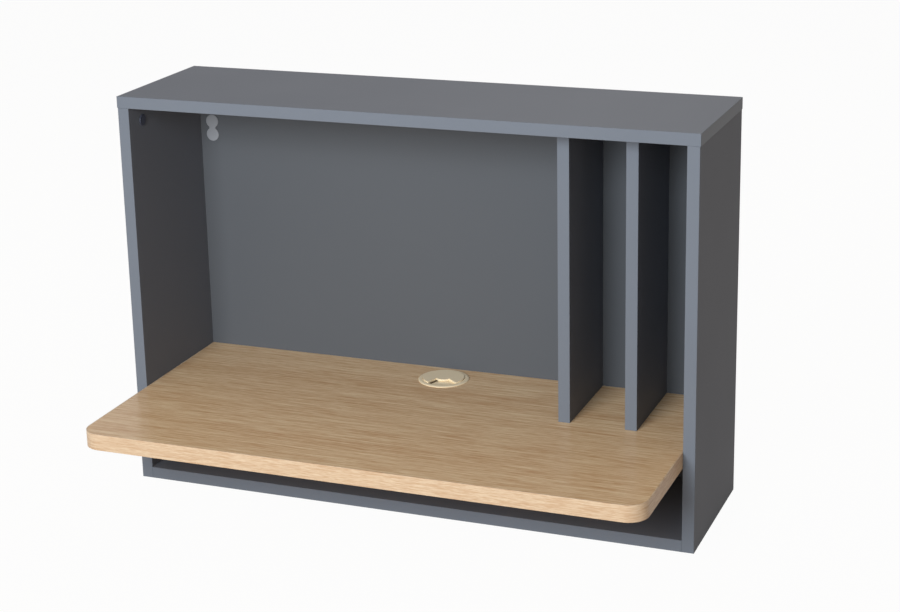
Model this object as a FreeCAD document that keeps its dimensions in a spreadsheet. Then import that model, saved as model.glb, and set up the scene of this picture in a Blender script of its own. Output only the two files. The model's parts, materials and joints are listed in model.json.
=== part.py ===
"""A wall desk: an open cabinet with a fixed oak worktop, two dividers and concealed hangers.

Millimetres, +Z up, +Y towards the wall, +X to the right. The origin lies on the floor plane,
midway between the sides and midway between the worktop's front edge and the wall plane.
"""
import FreeCAD, Part

import math
import os

import Sketcher
from FreeCAD import Placement, Rotation, Vector

doc = FreeCAD.newDocument("wall_desk")

# ------------------------------------------------------------------ driving dimensions
SIZES = [
    # cabinet boards
    ("cabinet_width", "900"),
    ("cabinet_depth", "246"),
    ("side_height", "600"),
    ("board", "18"),
    ("board_band", "1"),
    ("back_thick", "4"),
    ("top_overhang", "1"),
    ("wall_recess", "17.5"),
    ("groove_depth", "8.5"),
    ("groove_gap", "0.1"),
    ("groove_end_gap", "0.5"),
    # worktop
    ("worktop_thick", "25"),
    ("worktop_overhang", "204"),
    ("lower_gap", "111.5"),
    ("worktop_band", "2"),
    ("worktop_corner", "30"),
    # dividers
    ("slot_width", "84"),
    ("divider_setback", "57"),
    ("divider_fix_inset", "32"),
    # knock-down fittings
    ("cam_front", "40"),
    ("cam_rear", "168"),
    ("cam_distance", "26"),
    ("cam_axis_depth", "9"),
    ("cam_radius", "7.45"),
    ("cam_height", "12.3"),
    ("cam_hole_gap", "0.05"),
    ("cam_hole_floor", "1"),
    ("cam_channel", "7.4"),
    ("cam_channel_back", "4.2"),
    ("cam_cover_radius", "9"),
    ("cam_cover_thick", "1.6"),
    ("cam_cover_bevel", "0.8"),
    ("bolt_thread_radius", "2.9"),
    ("bolt_thread_length", "10.5"),
    ("bolt_shank_radius", "3.4"),
    ("bolt_neck_radius", "2.2"),
    ("bolt_neck_length", "3"),
    ("bolt_head_radius", "3.3"),
    ("bolt_head_length", "3"),
    ("bolt_reach_short", "1"),
    ("bolt_bore_gap", "0.6"),
    ("thread_hole_gap", "0.1"),
    ("thread_hole_floor", "0.5"),
    ("dowel_step", "32"),
    ("dowel_radius", "3.9"),
    ("dowel_in_face", "11"),
    ("dowel_in_end", "19"),
    ("dowel_bevel", "0.8"),
    ("dowel_hole_gap", "0.1"),
    ("dowel_hole_floor", "1"),
    ("divider_screw_length", "49"),
    ("divider_screw_radius", "2.9"),
    ("divider_screw_shank", "3.4"),
    ("divider_screw_head", "4.8"),
    ("divider_screw_head_rim", "1.2"),
    ("divider_screw_head_cone", "2"),
    ("divider_screw_sink", "0.4"),
    ("divider_screw_gap", "0.15"),
    ("recess_arm", "2.9"),
    ("recess_half_width", "0.6"),
    ("recess_depth", "1.8"),
    # cable grommet
    ("grommet_back_distance", "48"),
    ("sleeve_outer_radius", "33"),
    ("sleeve_inner_radius", "30.8"),
    ("sleeve_length", "20"),
    ("sleeve_hole_gap", "0.2"),
    ("flange_radius", "40"),
    ("flange_height", "2.1"),
    ("flange_edge", "0.8"),
    ("flange_slope", "3.5"),
    ("cap_radius", "32.6"),
    ("cap_thick", "3.4"),
    ("cap_ring_gap", "0.3"),
    ("cap_ledge", "0.3"),
    ("cap_notch_hub", "12.5"),
    ("cap_notch_apex_left", "4"),
    ("cap_notch_apex_back", "6"),
    ("cap_notch_start", "-108"),
    ("cap_notch_angle", "70"),
    ("cap_pin_radius", "3"),
    ("cap_pin_head_radius", "4"),
    ("cap_pin_head_length", "0.8"),
    ("shutter_thick", "1.6"),
    ("shutter_radius", "29.8"),
    ("shutter_hub_radius", "9"),
    ("shutter_gap", "0.3"),
    ("shutter_pin_gap", "0.1"),
    ("shutter_start", "-111"),
    ("shutter_angle", "85"),
    # hanger covers and adjuster holes
    ("adjuster_spacing", "21.5"),
    ("adjuster_hole_radius", "10"),
    ("cover_radius", "10.7"),
    ("cover_waist", "11"),
    ("cover_thick", "1.2"),
    ("cover_plug_gap", "0.3"),
    ("cover_plug_wall", "1.2"),
    ("cover_plug_length", "2.5"),
    # concealed hangers
    ("hanger_axis_in", "21"),
    ("hanger_drop", "66.5"),
    ("height_travel", "7"),
    ("depth_travel", "8"),
    ("hanger_gap", "0.4"),
    ("housing_wall", "1.2"),
    ("housing_width", "40"),
    ("housing_above", "28"),
    ("housing_below", "45"),
    ("housing_flange", "14"),
    ("housing_lip", "5.4"),
    ("slide_gap", "0.35"),
    ("slide_side_gap", "0.4"),
    ("slide_thick", "2"),
    ("slide_flange_gap", "3.4"),
    ("slide_above", "17"),
    ("slide_foot", "8"),
    ("gear_teeth", "12"),
    ("gear_module", "0.8"),
    ("gear_addendum", "0.6"),
    ("rack_addendum", "0.5"),
    ("gear_play", "0.25"),
    ("tooth_root_half", "0.72"),
    ("tooth_tip_half", "0.3"),
    ("rack_half_teeth", "5"),
    ("window_play", "0.8"),
    ("pinion_shaft_radius", "3.5"),
    ("pinion_shaft_gap", "0.08"),
    ("pinion_head_radius", "6"),
    ("pinion_head_length", "1.2"),
    ("pinion_head_gap", "0.2"),
    ("depth_screw_radius", "3"),
    ("depth_screw_gap", "0.1"),
    ("depth_screw_head_radius", "4.5"),
    ("depth_screw_head_length", "1.3"),
    ("depth_screw_head_gap", "0.2"),
    ("depth_screw_slot_gap", "0.4"),
    ("depth_screw_spare", "0.3"),
    ("collar_gap", "0.25"),
    ("collar_thick", "0.9"),
    ("hook_gap", "0.4"),
    ("hook_thick", "2.5"),
    ("hook_width", "27"),
    ("hook_top", "15.5"),
    ("hook_foot", "7.5"),
    ("hook_lip_front", "13.8"),
    ("hook_lip_thick", "2.2"),
    ("hook_lip_drop", "11"),
    ("plate_thick", "2"),
    ("plate_width", "56"),
    ("plate_side_gap", "5"),
    ("plate_height", "14"),
    ("plate_jog_height", "6"),
    ("plate_lip_height", "9.5"),
    ("plate_lip_forward", "5.2"),
    ("plate_hole_radius", "2.75"),
    ("plate_hole_spacing", "40"),
    ("plate_hole_above_foot", "6.5"),
    ("hanger_screw_high", "20"),
    ("hanger_screw_low", "38"),
    ("hanger_screw_back", "9.2"),
    ("hanger_screw_radius", "2.4"),
    ("hanger_screw_length", "12"),
    ("hanger_screw_head_radius", "4.5"),
    ("hanger_screw_head_length", "2"),
    ("hanger_screw_gap", "0.1"),
]

# ------------------------------------------------------------------ places worked out from them
PLACES = [
    ("half_width", "Sizes.cabinet_width / 2"),
    ("top_half", "Places.half_width + Sizes.top_overhang"),
    ("inner_half", "Sizes.cabinet_width / 2 - Sizes.board"),
    ("front_y", "(Sizes.worktop_overhang - Sizes.cabinet_depth) / 2"),
    ("worktop_front_y", "-(Sizes.worktop_overhang + Sizes.cabinet_depth) / 2"),
    ("back_front", "Sizes.cabinet_depth - Sizes.wall_recess - Sizes.back_thick"),
    ("groove_front", "Places.back_front - Sizes.groove_gap"),
    ("groove_wide", "Sizes.back_thick + 2 * Sizes.groove_gap"),
    ("groove_reach", "Places.inner_half + Sizes.groove_depth"),
    ("back_reach", "Places.groove_reach - Sizes.groove_end_gap"),
    ("worktop_under", "Sizes.board + Sizes.lower_gap"),
    ("worktop_top", "Places.worktop_under + Sizes.worktop_thick"),
    ("worktop_depth", "Sizes.worktop_overhang + Places.back_front"),
    ("right_divider_x", "Places.inner_half - Sizes.slot_width - Sizes.board"),
    ("left_divider_x", "Places.right_divider_x - Sizes.slot_width - Sizes.board"),
    ("divider_height", "Sizes.side_height - Places.worktop_top"),
    ("divider_fix_front", "Sizes.divider_setback + Sizes.divider_fix_inset"),
    ("divider_fix_rear", "Places.back_front - Sizes.divider_fix_inset"),
    ("dowel_front", "Sizes.cam_front + Sizes.dowel_step"),
    ("dowel_rear", "Sizes.cam_rear - Sizes.dowel_step"),
    ("worktop_cam_z", "Places.worktop_under + Sizes.cam_axis_depth"),
    ("cam_hole", "2 * (Sizes.cam_radius + Sizes.cam_hole_gap)"),
    ("cam_hole_depth", "Sizes.cam_height + Sizes.cam_hole_floor"),
    ("bolt_bore", "2 * (Sizes.bolt_shank_radius + Sizes.bolt_bore_gap)"),
    ("thread_hole", "2 * (Sizes.bolt_thread_radius + Sizes.thread_hole_gap)"),
    ("thread_depth", "Sizes.bolt_thread_length + Sizes.thread_hole_floor"),
    ("dowel_hole", "2 * (Sizes.dowel_radius + Sizes.dowel_hole_gap)"),
    ("dowel_face_depth", "Sizes.dowel_in_face + Sizes.dowel_hole_floor"),
    ("dowel_end_depth", "Sizes.dowel_in_end + Sizes.dowel_hole_floor"),
    ("divider_screw_neck", "Sizes.divider_screw_sink + Sizes.divider_screw_head_rim"
                           " + Sizes.divider_screw_head_cone"),
    ("grommet_y", "Places.front_y + Places.back_front - Sizes.grommet_back_distance"),
    ("shutter_floor", "Sizes.cap_ledge - Sizes.shutter_gap - Sizes.shutter_thick"),
    ("pin_head_top", "Places.shutter_floor - Sizes.shutter_pin_gap"),
    ("hanger_x", "-(Places.inner_half - Sizes.hanger_axis_in)"),
    ("hanger_y", "Places.front_y + Places.back_front + Sizes.back_thick"),
    ("hanger_z", "Sizes.side_height - Sizes.hanger_drop"),
    ("adjuster_low_z", "Places.hanger_z - Sizes.adjuster_spacing"),
    ("slide_front", "Sizes.hanger_gap + Sizes.housing_wall + Sizes.slide_gap"),
    ("slide_back", "Places.slide_front + Sizes.slide_thick"),
    ("slide_right", "Sizes.housing_width - Sizes.hanger_axis_in - Sizes.housing_wall"
                    " - Sizes.slide_side_gap"),
    ("gear_radius", "Sizes.gear_module * Sizes.gear_teeth / 2"),
    ("gear_root", "Places.gear_radius - Sizes.rack_addendum - Sizes.gear_play"),
    ("gear_tip", "Places.gear_radius + Sizes.gear_addendum"),
    ("gear_pitch", "Sizes.gear_module * 3.14159265"),
    ("rack_root", "Places.gear_tip + Sizes.gear_play"),
    ("rack_tip", "Places.gear_radius - Sizes.rack_addendum"),
    ("window_half", "Places.gear_tip + Sizes.height_travel + Sizes.window_play"),
    ("collar_front", "Places.slide_back + Sizes.collar_gap"),
    ("collar_back", "Places.collar_front + Sizes.collar_thick"),
    ("hook_front", "Places.collar_back + Sizes.hook_gap"),
    ("hook_back", "Places.hook_front + Sizes.hook_thick"),
    ("hook_under", "Sizes.hook_top - Sizes.hook_thick"),
    ("hook_lip_back", "Sizes.hook_lip_front + Sizes.hook_lip_thick"),
    ("plate_front", "Sizes.wall_recess - Sizes.plate_thick"),
    ("plate_lip_back", "Sizes.wall_recess - Sizes.plate_lip_forward"),
    ("plate_lip_front", "Places.plate_lip_back - Sizes.plate_thick"),
    ("plate_left", "Sizes.plate_side_gap - Sizes.hanger_axis_in"),
    ("plate_jog_top", "Places.hook_under - Sizes.plate_lip_height"),
    ("plate_base_top", "Places.plate_jog_top - Sizes.plate_jog_height"),
    ("plate_foot", "Places.plate_base_top - Sizes.plate_height"),
    ("plate_hole_z", "Places.plate_foot + Sizes.plate_hole_above_foot"),
    ("plate_hole_left", "Places.plate_left + (Sizes.plate_width - Sizes.plate_hole_spacing) / 2"),
]


def fill_sheet(name, rows, start=""):
    """Writes one spreadsheet, an alias for each value."""
    sheet = doc.addObject("Spreadsheet::Sheet", name)
    for row, (alias, text) in enumerate(rows, start=1):
        sheet.set(f"A{row}", alias)
        sheet.set(f"B{row}", start + text)
        sheet.setAlias(f"B{row}", alias)
    doc.recompute()


fill_sheet("Sizes", SIZES)
fill_sheet("Places", PLACES, start="=")

nodes = []


def keep(piece, label):
    """Marks an object as one sub-part of the desk."""
    piece.Label = label
    nodes.append(piece)
    return piece


# ------------------------------------------------------------------ drawing helpers
def place(piece, x="0", y="0", z="0"):
    """Binds where a piece's own origin stands."""
    piece.setExpression("Placement.Base.x", x)
    piece.setExpression("Placement.Base.y", y)
    piece.setExpression("Placement.Base.z", z)


def new_body(label, x="0", y="0", z="0", turn=None):
    """A PartDesign body that becomes a sub-part."""
    body = doc.addObject("PartDesign::Body", label)
    if turn:
        body.Placement = Placement(Vector(), turn)
    place(body, x, y, z)
    return keep(body, label)


def origin_part(body, role):
    """One plane or axis of a body's own origin."""
    return next(part for part in body.Origin.OriginFeatures if part.Role == role)


def new_sketch(body, plane, offset="0"):
    """An empty sketch on one of the body's planes, moved along that plane's normal."""
    sketch = body.newObject("Sketcher::SketchObject", body.Name + "_sketch")
    sketch.AttachmentSupport = [(origin_part(body, plane), "")]
    sketch.MapMode = "FlatFace"
    sketch.setExpression("AttachmentOffset.Base.z", offset)
    return sketch


def bind(sketch, constraint, text):
    """Adds a dimension to a sketch and ties it to an expression."""
    index = sketch.addConstraint(constraint)
    sketch.setExpression(f"Constraints[{index}]", text)


def bind_point(sketch, geometry, end, start, across, up):
    """Ties one point of a sketch to its two distances from the sketch's origin."""
    bind(sketch, Sketcher.Constraint("DistanceX", -1, 1, geometry, end, start.x), across)
    bind(sketch, Sketcher.Constraint("DistanceY", -1, 1, geometry, end, start.y), up)


START_REACH = 10  # how far out a new outline's corners lie until their places are bound


def outline(sketch, corners):
    """A closed outline of straight edges through corners given as pairs of expressions."""
    count = len(corners)
    turns = [2 * math.pi * index / count for index in range(count)]
    starts = [Vector(START_REACH * math.cos(turn), START_REACH * math.sin(turn), 0) for turn in turns]
    edges = []
    for index, start in enumerate(starts):
        segment = Part.LineSegment(start, starts[(index + 1) % count])
        edges.append(sketch.addGeometry(segment))
    for index, edge in enumerate(edges):
        following = edges[(index + 1) % count]
        sketch.addConstraint(Sketcher.Constraint("Coincident", edge, 2, following, 1))
    for edge, start, (across, up) in zip(edges, starts, corners):
        bind_point(sketch, edge, 1, start, across, up)


def rectangle(sketch, left, right, low, high):
    """A rectangle between four expressions."""
    outline(sketch, [(left, low), (right, low), (right, high), (left, high)])


def circles(sketch, diameter, spots):
    """Circles of one diameter, centred on pairs of expressions."""
    for index, (across, up) in enumerate(spots):
        centre = Vector(5 * index + 1, 1, 0)
        circle = sketch.addGeometry(Part.Circle(centre, Vector(0, 0, 1), 1))
        bind_point(sketch, circle, 3, centre, across, up)
        bind(sketch, Sketcher.Constraint("Diameter", circle, 2), diameter)


def cross(sketch):
    """The outline of a cross recess for a screwdriver, round the sketch's origin."""
    arm = "Sizes.recess_arm"
    half = "Sizes.recess_half_width"
    outline(sketch, [
        (half, half), (half, arm), ("-" + half, arm), ("-" + half, half),
        ("-" + arm, half), ("-" + arm, "-" + half), ("-" + half, "-" + half), ("-" + half, "-" + arm),
        (half, "-" + arm), (half, "-" + half), (arm, "-" + half), (arm, half),
    ])


def pad(body, sketch, length, against=False):
    """Adds material along the sketch's normal, or against it."""
    feature = body.newObject("PartDesign::Pad", body.Name + "_pad")
    feature.Profile = sketch
    feature.setExpression("Length", length)
    feature.Reversed = against
    return feature


def pocket(body, sketch, depth, along=False):
    """Cuts against the sketch's normal, or along it."""
    feature = body.newObject("PartDesign::Pocket", body.Name + "_pocket")
    feature.Profile = sketch
    feature.setExpression("Length", depth)
    feature.Reversed = along
    return feature


def turned(body, profile):
    """A turned piece: radius and height corners, spun about the body's Z axis."""
    sketch = new_sketch(body, "XZ_Plane")
    outline(sketch, profile)
    feature = body.newObject("PartDesign::Revolution", body.Name + "_turning")
    feature.Profile = sketch
    feature.ReferenceAxis = (sketch, ["V_Axis"])
    feature.Angle = 360
    return feature


def drill(body, plane, offset, diameter, depth, spots, along=False):
    """Round blind holes from one plane."""
    sketch = new_sketch(body, plane, offset)
    circles(sketch, diameter, spots)
    return pocket(body, sketch, depth, along)


def strip(label, sides, corner):
    """A plain rectangular strip from its three sides and its low corner."""
    box = doc.addObject("Part::Box", label)
    for side, text in zip(("Length", "Width", "Height"), sides):
        box.setExpression(side, text)
    place(box, *corner)
    return box


def mirror(piece, label):
    """The right-hand twin of a left-hand piece."""
    twin = doc.addObject("Part::Mirroring", label)
    twin.Source = piece
    twin.Normal = Vector(1, 0, 0)
    return keep(twin, label)


def facing(outward, towards):
    """The turn that takes a fitting's Z axis to one direction and its X axis to another."""
    return Rotation(towards, outward.cross(towards), outward, "ZXY")


def group(label, master, spots):
    """One node of identical pieces: each spot is a turn and three place expressions."""
    nodes.remove(master)
    master.Label = label + "_master"
    links = []
    for index, (turn, corner) in enumerate(spots, start=1):
        link = doc.addObject("App::Link", f"{label}_{index}")
        link.LinkedObject = master
        link.Placement = Placement(Vector(), turn)
        place(link, *corner)
        links.append(link)
    compound = doc.addObject("Part::Compound", label)
    compound.Links = links
    return keep(compound, label)


RIGHT = Vector(1, 0, 0)
LEFT = Vector(-1, 0, 0)
UP = Vector(0, 0, 1)
DOWN = Vector(0, 0, -1)
TO_WALL = Rotation(RIGHT, -90)
CAMS_Y = ("Sizes.cam_front", "Sizes.cam_rear")
DOWELS_Y = ("Places.dowel_front", "Places.dowel_rear")
DIVIDER_FIX_Y = ("Places.divider_fix_front", "Places.divider_fix_rear")
DIVIDER_MIDDLES = ("Places.left_divider_x + Sizes.board / 2", "Places.right_divider_x + Sizes.board / 2")


# ------------------------------------------------------------------ cabinet boards
def make_top_panel():
    """The top lies over both sides and a little past them; drilled and grooved underneath."""
    body = new_body("top_panel", y="Places.front_y", z="Sizes.side_height")
    sketch = new_sketch(body, "XY_Plane")
    end = "Places.top_half - Sizes.board_band"
    rectangle(sketch, f"-({end})", end, "Sizes.board_band", "Sizes.cabinet_depth")
    pad(body, sketch, "Sizes.board")
    cut_back_groove(body, "0", "Places.groove_reach", along=True)
    middle = "Places.half_width - Sizes.board / 2"
    ends = (f"-({middle})", middle)
    bolts = [(x, y) for x in ends for y in CAMS_Y]
    drill(body, "XY_Plane", "0", "Places.thread_hole", "Places.thread_depth", bolts, along=True)
    dowels = [(x, y) for x in ends for y in DOWELS_Y]
    dowels += [(x, y) for x in DIVIDER_MIDDLES for y in DIVIDER_FIX_Y]
    drill(body, "XY_Plane", "0", "Places.dowel_hole", "Places.dowel_face_depth", dowels, along=True)


def cut_back_groove(body, height, reach, along):
    """The back panel's groove across a horizontal board, as far out as its reach."""
    sketch = new_sketch(body, "XY_Plane", height)
    back = "Places.groove_front + Places.groove_wide"
    rectangle(sketch, "-" + reach, reach, "Places.groove_front", back)
    pocket(body, sketch, "Sizes.groove_depth", along)


def make_side_panel():
    """The left side; its inner face carries the cams, the groove and the holes."""
    body = new_body("left_side_panel", "-Places.half_width", "Places.front_y")
    sketch = new_sketch(body, "YZ_Plane")
    rectangle(sketch, "Sizes.board_band", "Sizes.cabinet_depth", "0", "Sizes.side_height")
    pad(body, sketch, "Sizes.board")
    groove = new_sketch(body, "YZ_Plane", "Sizes.board")
    back = "Places.groove_front + Places.groove_wide"
    low = "Sizes.board - Sizes.groove_depth"
    rectangle(groove, "Places.groove_front", back, low, "Sizes.side_height")
    pocket(body, groove, "Sizes.groove_depth")
    cam_height = "Sizes.side_height - Sizes.cam_distance"
    cams = [(y, cam_height) for y in CAMS_Y]
    drill(body, "YZ_Plane", "Sizes.board", "Places.cam_hole", "Places.cam_hole_depth", cams)
    middle = "Sizes.board - Sizes.cam_axis_depth"
    bolts = [(middle, y) for y in CAMS_Y]
    drill(body, "XY_Plane", "Sizes.side_height", "Places.bolt_bore", "Sizes.cam_distance", bolts)
    dowels = [(middle, y) for y in DOWELS_Y]
    drill(body, "XY_Plane", "Sizes.side_height", "Places.dowel_hole", "Places.dowel_end_depth", dowels)
    levels = ("Sizes.cam_axis_depth", "Places.worktop_cam_z")
    threads = [(y, z) for y in CAMS_Y for z in levels]
    drill(body, "YZ_Plane", "Sizes.board", "Places.thread_hole", "Places.thread_depth", threads)
    pegs = [(y, z) for y in DOWELS_Y for z in levels]
    drill(body, "YZ_Plane", "Sizes.board", "Places.dowel_hole", "Places.dowel_face_depth", pegs)
    from_front = "Places.back_front + Sizes.back_thick + Sizes.hanger_screw_back"
    high = "Places.hanger_z + Sizes.hanger_screw_high"
    low = "Places.hanger_z - Sizes.hanger_screw_low"
    hole = "2 * (Sizes.hanger_screw_radius + Sizes.hanger_screw_gap)"
    drill(body, "YZ_Plane", "Sizes.board", hole, "Sizes.hanger_screw_length",
          [(from_front, high), (from_front, low)])
    mirror(body, "right_side_panel")


def drill_ends(body, from_front, height):
    """Bolt bores and dowel holes into both ends of a board that stands between the sides."""
    face = "Places.inner_half"
    bolts = [(f"{from_front} + {y}", height) for y in CAMS_Y]
    bores = drill(body, "YZ_Plane", face, "Places.bolt_bore", "Sizes.cam_distance", bolts)
    dowels = [(f"{from_front} + {y}", height) for y in DOWELS_Y]
    holes = drill(body, "YZ_Plane", face, "Places.dowel_hole", "Places.dowel_end_depth", dowels)
    both = body.newObject("PartDesign::Mirrored", body.Name + "_mirrored")
    both.Originals = [bores, holes]
    both.MirrorPlane = (origin_part(body, "YZ_Plane"), [""])
    body.Tip = both


def drill_cams(body, from_front):
    """Cam holes in the underside of a board that stands between the sides."""
    reach = "Places.inner_half - Sizes.cam_distance"
    cams = [(x, f"{from_front} + {y}") for x in (f"-({reach})", reach) for y in CAMS_Y]
    drill(body, "XY_Plane", "0", "Places.cam_hole", "Places.cam_hole_depth", cams, along=True)


def make_bottom_panel():
    """The bottom stands between the sides, grooved on top, its cams underneath."""
    body = new_body("bottom_panel", y="Places.front_y")
    sketch = new_sketch(body, "XY_Plane")
    rectangle(sketch, "-Places.inner_half", "Places.inner_half", "Sizes.board_band", "Sizes.cabinet_depth")
    pad(body, sketch, "Sizes.board")
    cut_back_groove(body, "Sizes.board", "Places.inner_half", along=False)
    drill_cams(body, "0")
    drill_ends(body, "0", "Sizes.cam_axis_depth")


def make_back_panel():
    """The thin back stands in the four grooves, with two adjuster holes in each upper corner."""
    low = "Sizes.board - Sizes.groove_depth + Sizes.groove_end_gap"
    body = new_body("back_panel", y="Places.front_y + Places.back_front", z=low)
    sketch = new_sketch(body, "XZ_Plane")
    high = f"Sizes.side_height + Sizes.groove_depth - Sizes.groove_end_gap - ({low})"
    rectangle(sketch, "-Places.back_reach", "Places.back_reach", "0", high)
    pad(body, sketch, "Sizes.back_thick", against=True)
    spots = [(x, f"{z} - ({low})") for x in ("Places.hanger_x", "-Places.hanger_x")
             for z in ("Places.hanger_z", "Places.adjuster_low_z")]
    drill(body, "XZ_Plane", "0", "2 * Sizes.adjuster_hole_radius", "Sizes.back_thick", spots, along=False)


def make_board_bands():
    """Thin strips glued on the boards' visible edges."""
    band = "Sizes.board_band"
    end = "Places.top_half - Sizes.board_band"
    rest = "Sizes.cabinet_depth - Sizes.board_band"
    behind = "Places.front_y + Sizes.board_band"
    front = strip("band_front", ("2 * Places.top_half", band, "Sizes.board"),
                  ("-Places.top_half", "Places.front_y", "Sizes.side_height"))
    left = strip("band_left", (band, rest, "Sizes.board"),
                 ("-Places.top_half", behind, "Sizes.side_height"))
    right = strip("band_right", (band, rest, "Sizes.board"), (end, behind, "Sizes.side_height"))
    around = doc.addObject("Part::Compound", "top_panel_edge_bands")
    around.Links = [front, left, right]
    keep(around, "top_panel_edge_bands")
    side = strip("left_side_edge_band", ("Sizes.board", band, "Sizes.side_height"),
                 ("-Places.half_width", "Places.front_y", "0"))
    mirror(keep(side, "left_side_edge_band"), "right_side_edge_band")
    bottom = strip("bottom_panel_edge_band", ("2 * Places.inner_half", band, "Sizes.board"),
                   ("-Places.inner_half", "Places.front_y", "0"))
    keep(bottom, "bottom_panel_edge_band")


# ------------------------------------------------------------------ worktop and dividers
def edges_upright_at(shape, corner_x, corner_y):
    """Names of a shape's upright edges at plus or minus one place."""
    found = []
    for number, edge in enumerate(shape.Edges, start=1):
        first, last = edge.Vertexes[0].Point, edge.Vertexes[-1].Point
        upright = abs(first.x - last.x) < 0.001 and abs(first.y - last.y) < 0.001
        if upright and abs(abs(first.x) - corner_x) < 0.001 and abs(first.y - corner_y) < 0.001:
            found.append(f"Edge{number}")
    return found


def round_corners(body, base, corner_x, corner_y, radius):
    """Rounds the two upright front corners of a worktop piece."""
    doc.recompute()
    feature = body.newObject("PartDesign::Fillet", body.Name + "_round")
    feature.Base = (base, edges_upright_at(base.Shape, corner_x, corner_y))
    feature.setExpression("Radius", radius)
    doc.recompute()
    return feature


def make_worktop():
    """The oak worktop's core, with the grommet hole, cams, bores and divider screw holes."""
    places = doc.Places
    sizes = doc.Sizes
    body = new_body("worktop", y="Places.worktop_front_y", z="Places.worktop_under")
    sketch = new_sketch(body, "XY_Plane")
    end = "Places.inner_half - Sizes.worktop_band"
    rectangle(sketch, f"-({end})", end, "Sizes.worktop_band", "Places.worktop_depth")
    slab = pad(body, sketch, "Sizes.worktop_thick")
    round_corners(body, slab, places.inner_half - sizes.worktop_band, sizes.worktop_band,
                  "Sizes.worktop_corner - Sizes.worktop_band")
    hole = "2 * (Sizes.sleeve_outer_radius + Sizes.sleeve_hole_gap)"
    centre = ("0", "Places.worktop_depth - Sizes.grommet_back_distance")
    drill(body, "XY_Plane", "Sizes.worktop_thick", hole, "Sizes.worktop_thick", [centre])
    screws = [(x, f"Sizes.worktop_overhang + {y}") for x in DIVIDER_MIDDLES for y in DIVIDER_FIX_Y]
    shank = "2 * (Sizes.divider_screw_shank + Sizes.divider_screw_gap)"
    drill(body, "XY_Plane", "Sizes.worktop_thick", shank, "Sizes.worktop_thick", screws)
    head = "2 * (Sizes.divider_screw_head + Sizes.divider_screw_gap)"
    sunk = "Places.divider_screw_neck + Sizes.divider_screw_sink"
    drill(body, "XY_Plane", "0", head, sunk, screws, along=True)
    drill_cams(body, "Sizes.worktop_overhang")
    drill_ends(body, "Sizes.worktop_overhang", "Sizes.cam_axis_depth")


def make_worktop_band():
    """The thick band glued round the worktop's front and both ends."""
    places = doc.Places
    sizes = doc.Sizes
    body = new_body("worktop_edge_band", y="Places.worktop_front_y", z="Places.worktop_under")
    sketch = new_sketch(body, "XY_Plane")
    out = "Places.inner_half"
    inside = "Places.inner_half - Sizes.worktop_band"
    band = "Sizes.worktop_band"
    rear = "Places.worktop_depth"
    outline(sketch, [
        ("-" + out, "0"), (out, "0"), (out, rear), (inside, rear),
        (inside, band), (f"-({inside})", band), (f"-({inside})", rear), ("-" + out, rear),
    ])
    wrap = pad(body, sketch, "Sizes.worktop_thick")
    outer = round_corners(body, wrap, places.inner_half, 0, "Sizes.worktop_corner")
    round_corners(body, outer, places.inner_half - sizes.worktop_band, sizes.worktop_band,
                  "Sizes.worktop_corner - Sizes.worktop_band")
    drill_ends(body, "Sizes.worktop_overhang", "Sizes.cam_axis_depth")


def make_divider(label, x):
    """An upright divider between the worktop and the top, and its front band."""
    front = "Places.front_y + Sizes.divider_setback"
    body = new_body(label, x, front, "Places.worktop_top")
    sketch = new_sketch(body, "YZ_Plane")
    depth = "Places.back_front - Sizes.divider_setback"
    rectangle(sketch, "Sizes.board_band", depth, "0", "Places.divider_height")
    pad(body, sketch, "Sizes.board")
    spots = [("Sizes.board / 2", f"{y} - Sizes.divider_setback") for y in DIVIDER_FIX_Y]
    drill(body, "XY_Plane", "Places.divider_height", "Places.dowel_hole", "Places.dowel_end_depth", spots)
    thread = "2 * (Sizes.divider_screw_radius + Sizes.divider_screw_gap)"
    depth = "Sizes.divider_screw_length - Sizes.worktop_thick + Sizes.thread_hole_floor"
    drill(body, "XY_Plane", "0", thread, depth, spots, along=True)
    band = strip(label + "_edge_band", ("Sizes.board", "Sizes.board_band", "Places.divider_height"),
                 (x, front, "Places.worktop_top"))
    keep(band, label + "_edge_band")


# ------------------------------------------------------------------ knock-down fittings
def upright_joints(rows):
    """Spots where the top meets the two sides, pointing down into the side."""
    x = "Places.half_width - Sizes.cam_axis_depth"
    turn = Rotation(RIGHT, 180)
    return [(turn, (side, f"Places.front_y + {y}", "Sizes.side_height"))
            for side in (f"-({x})", x) for y in rows]


def level_joints(rows):
    """Spots where the bottom and the worktop meet the sides, pointing inwards."""
    spots = []
    for height in ("Sizes.cam_axis_depth", "Places.worktop_cam_z"):
        for y in rows:
            depth = f"Places.front_y + {y}"
            spots.append((Rotation(Vector(0, 1, 0), 90), ("-Places.inner_half", depth, height)))
            spots.append((Rotation(Vector(0, 1, 0), -90), ("Places.inner_half", depth, height)))
    return spots


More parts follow.
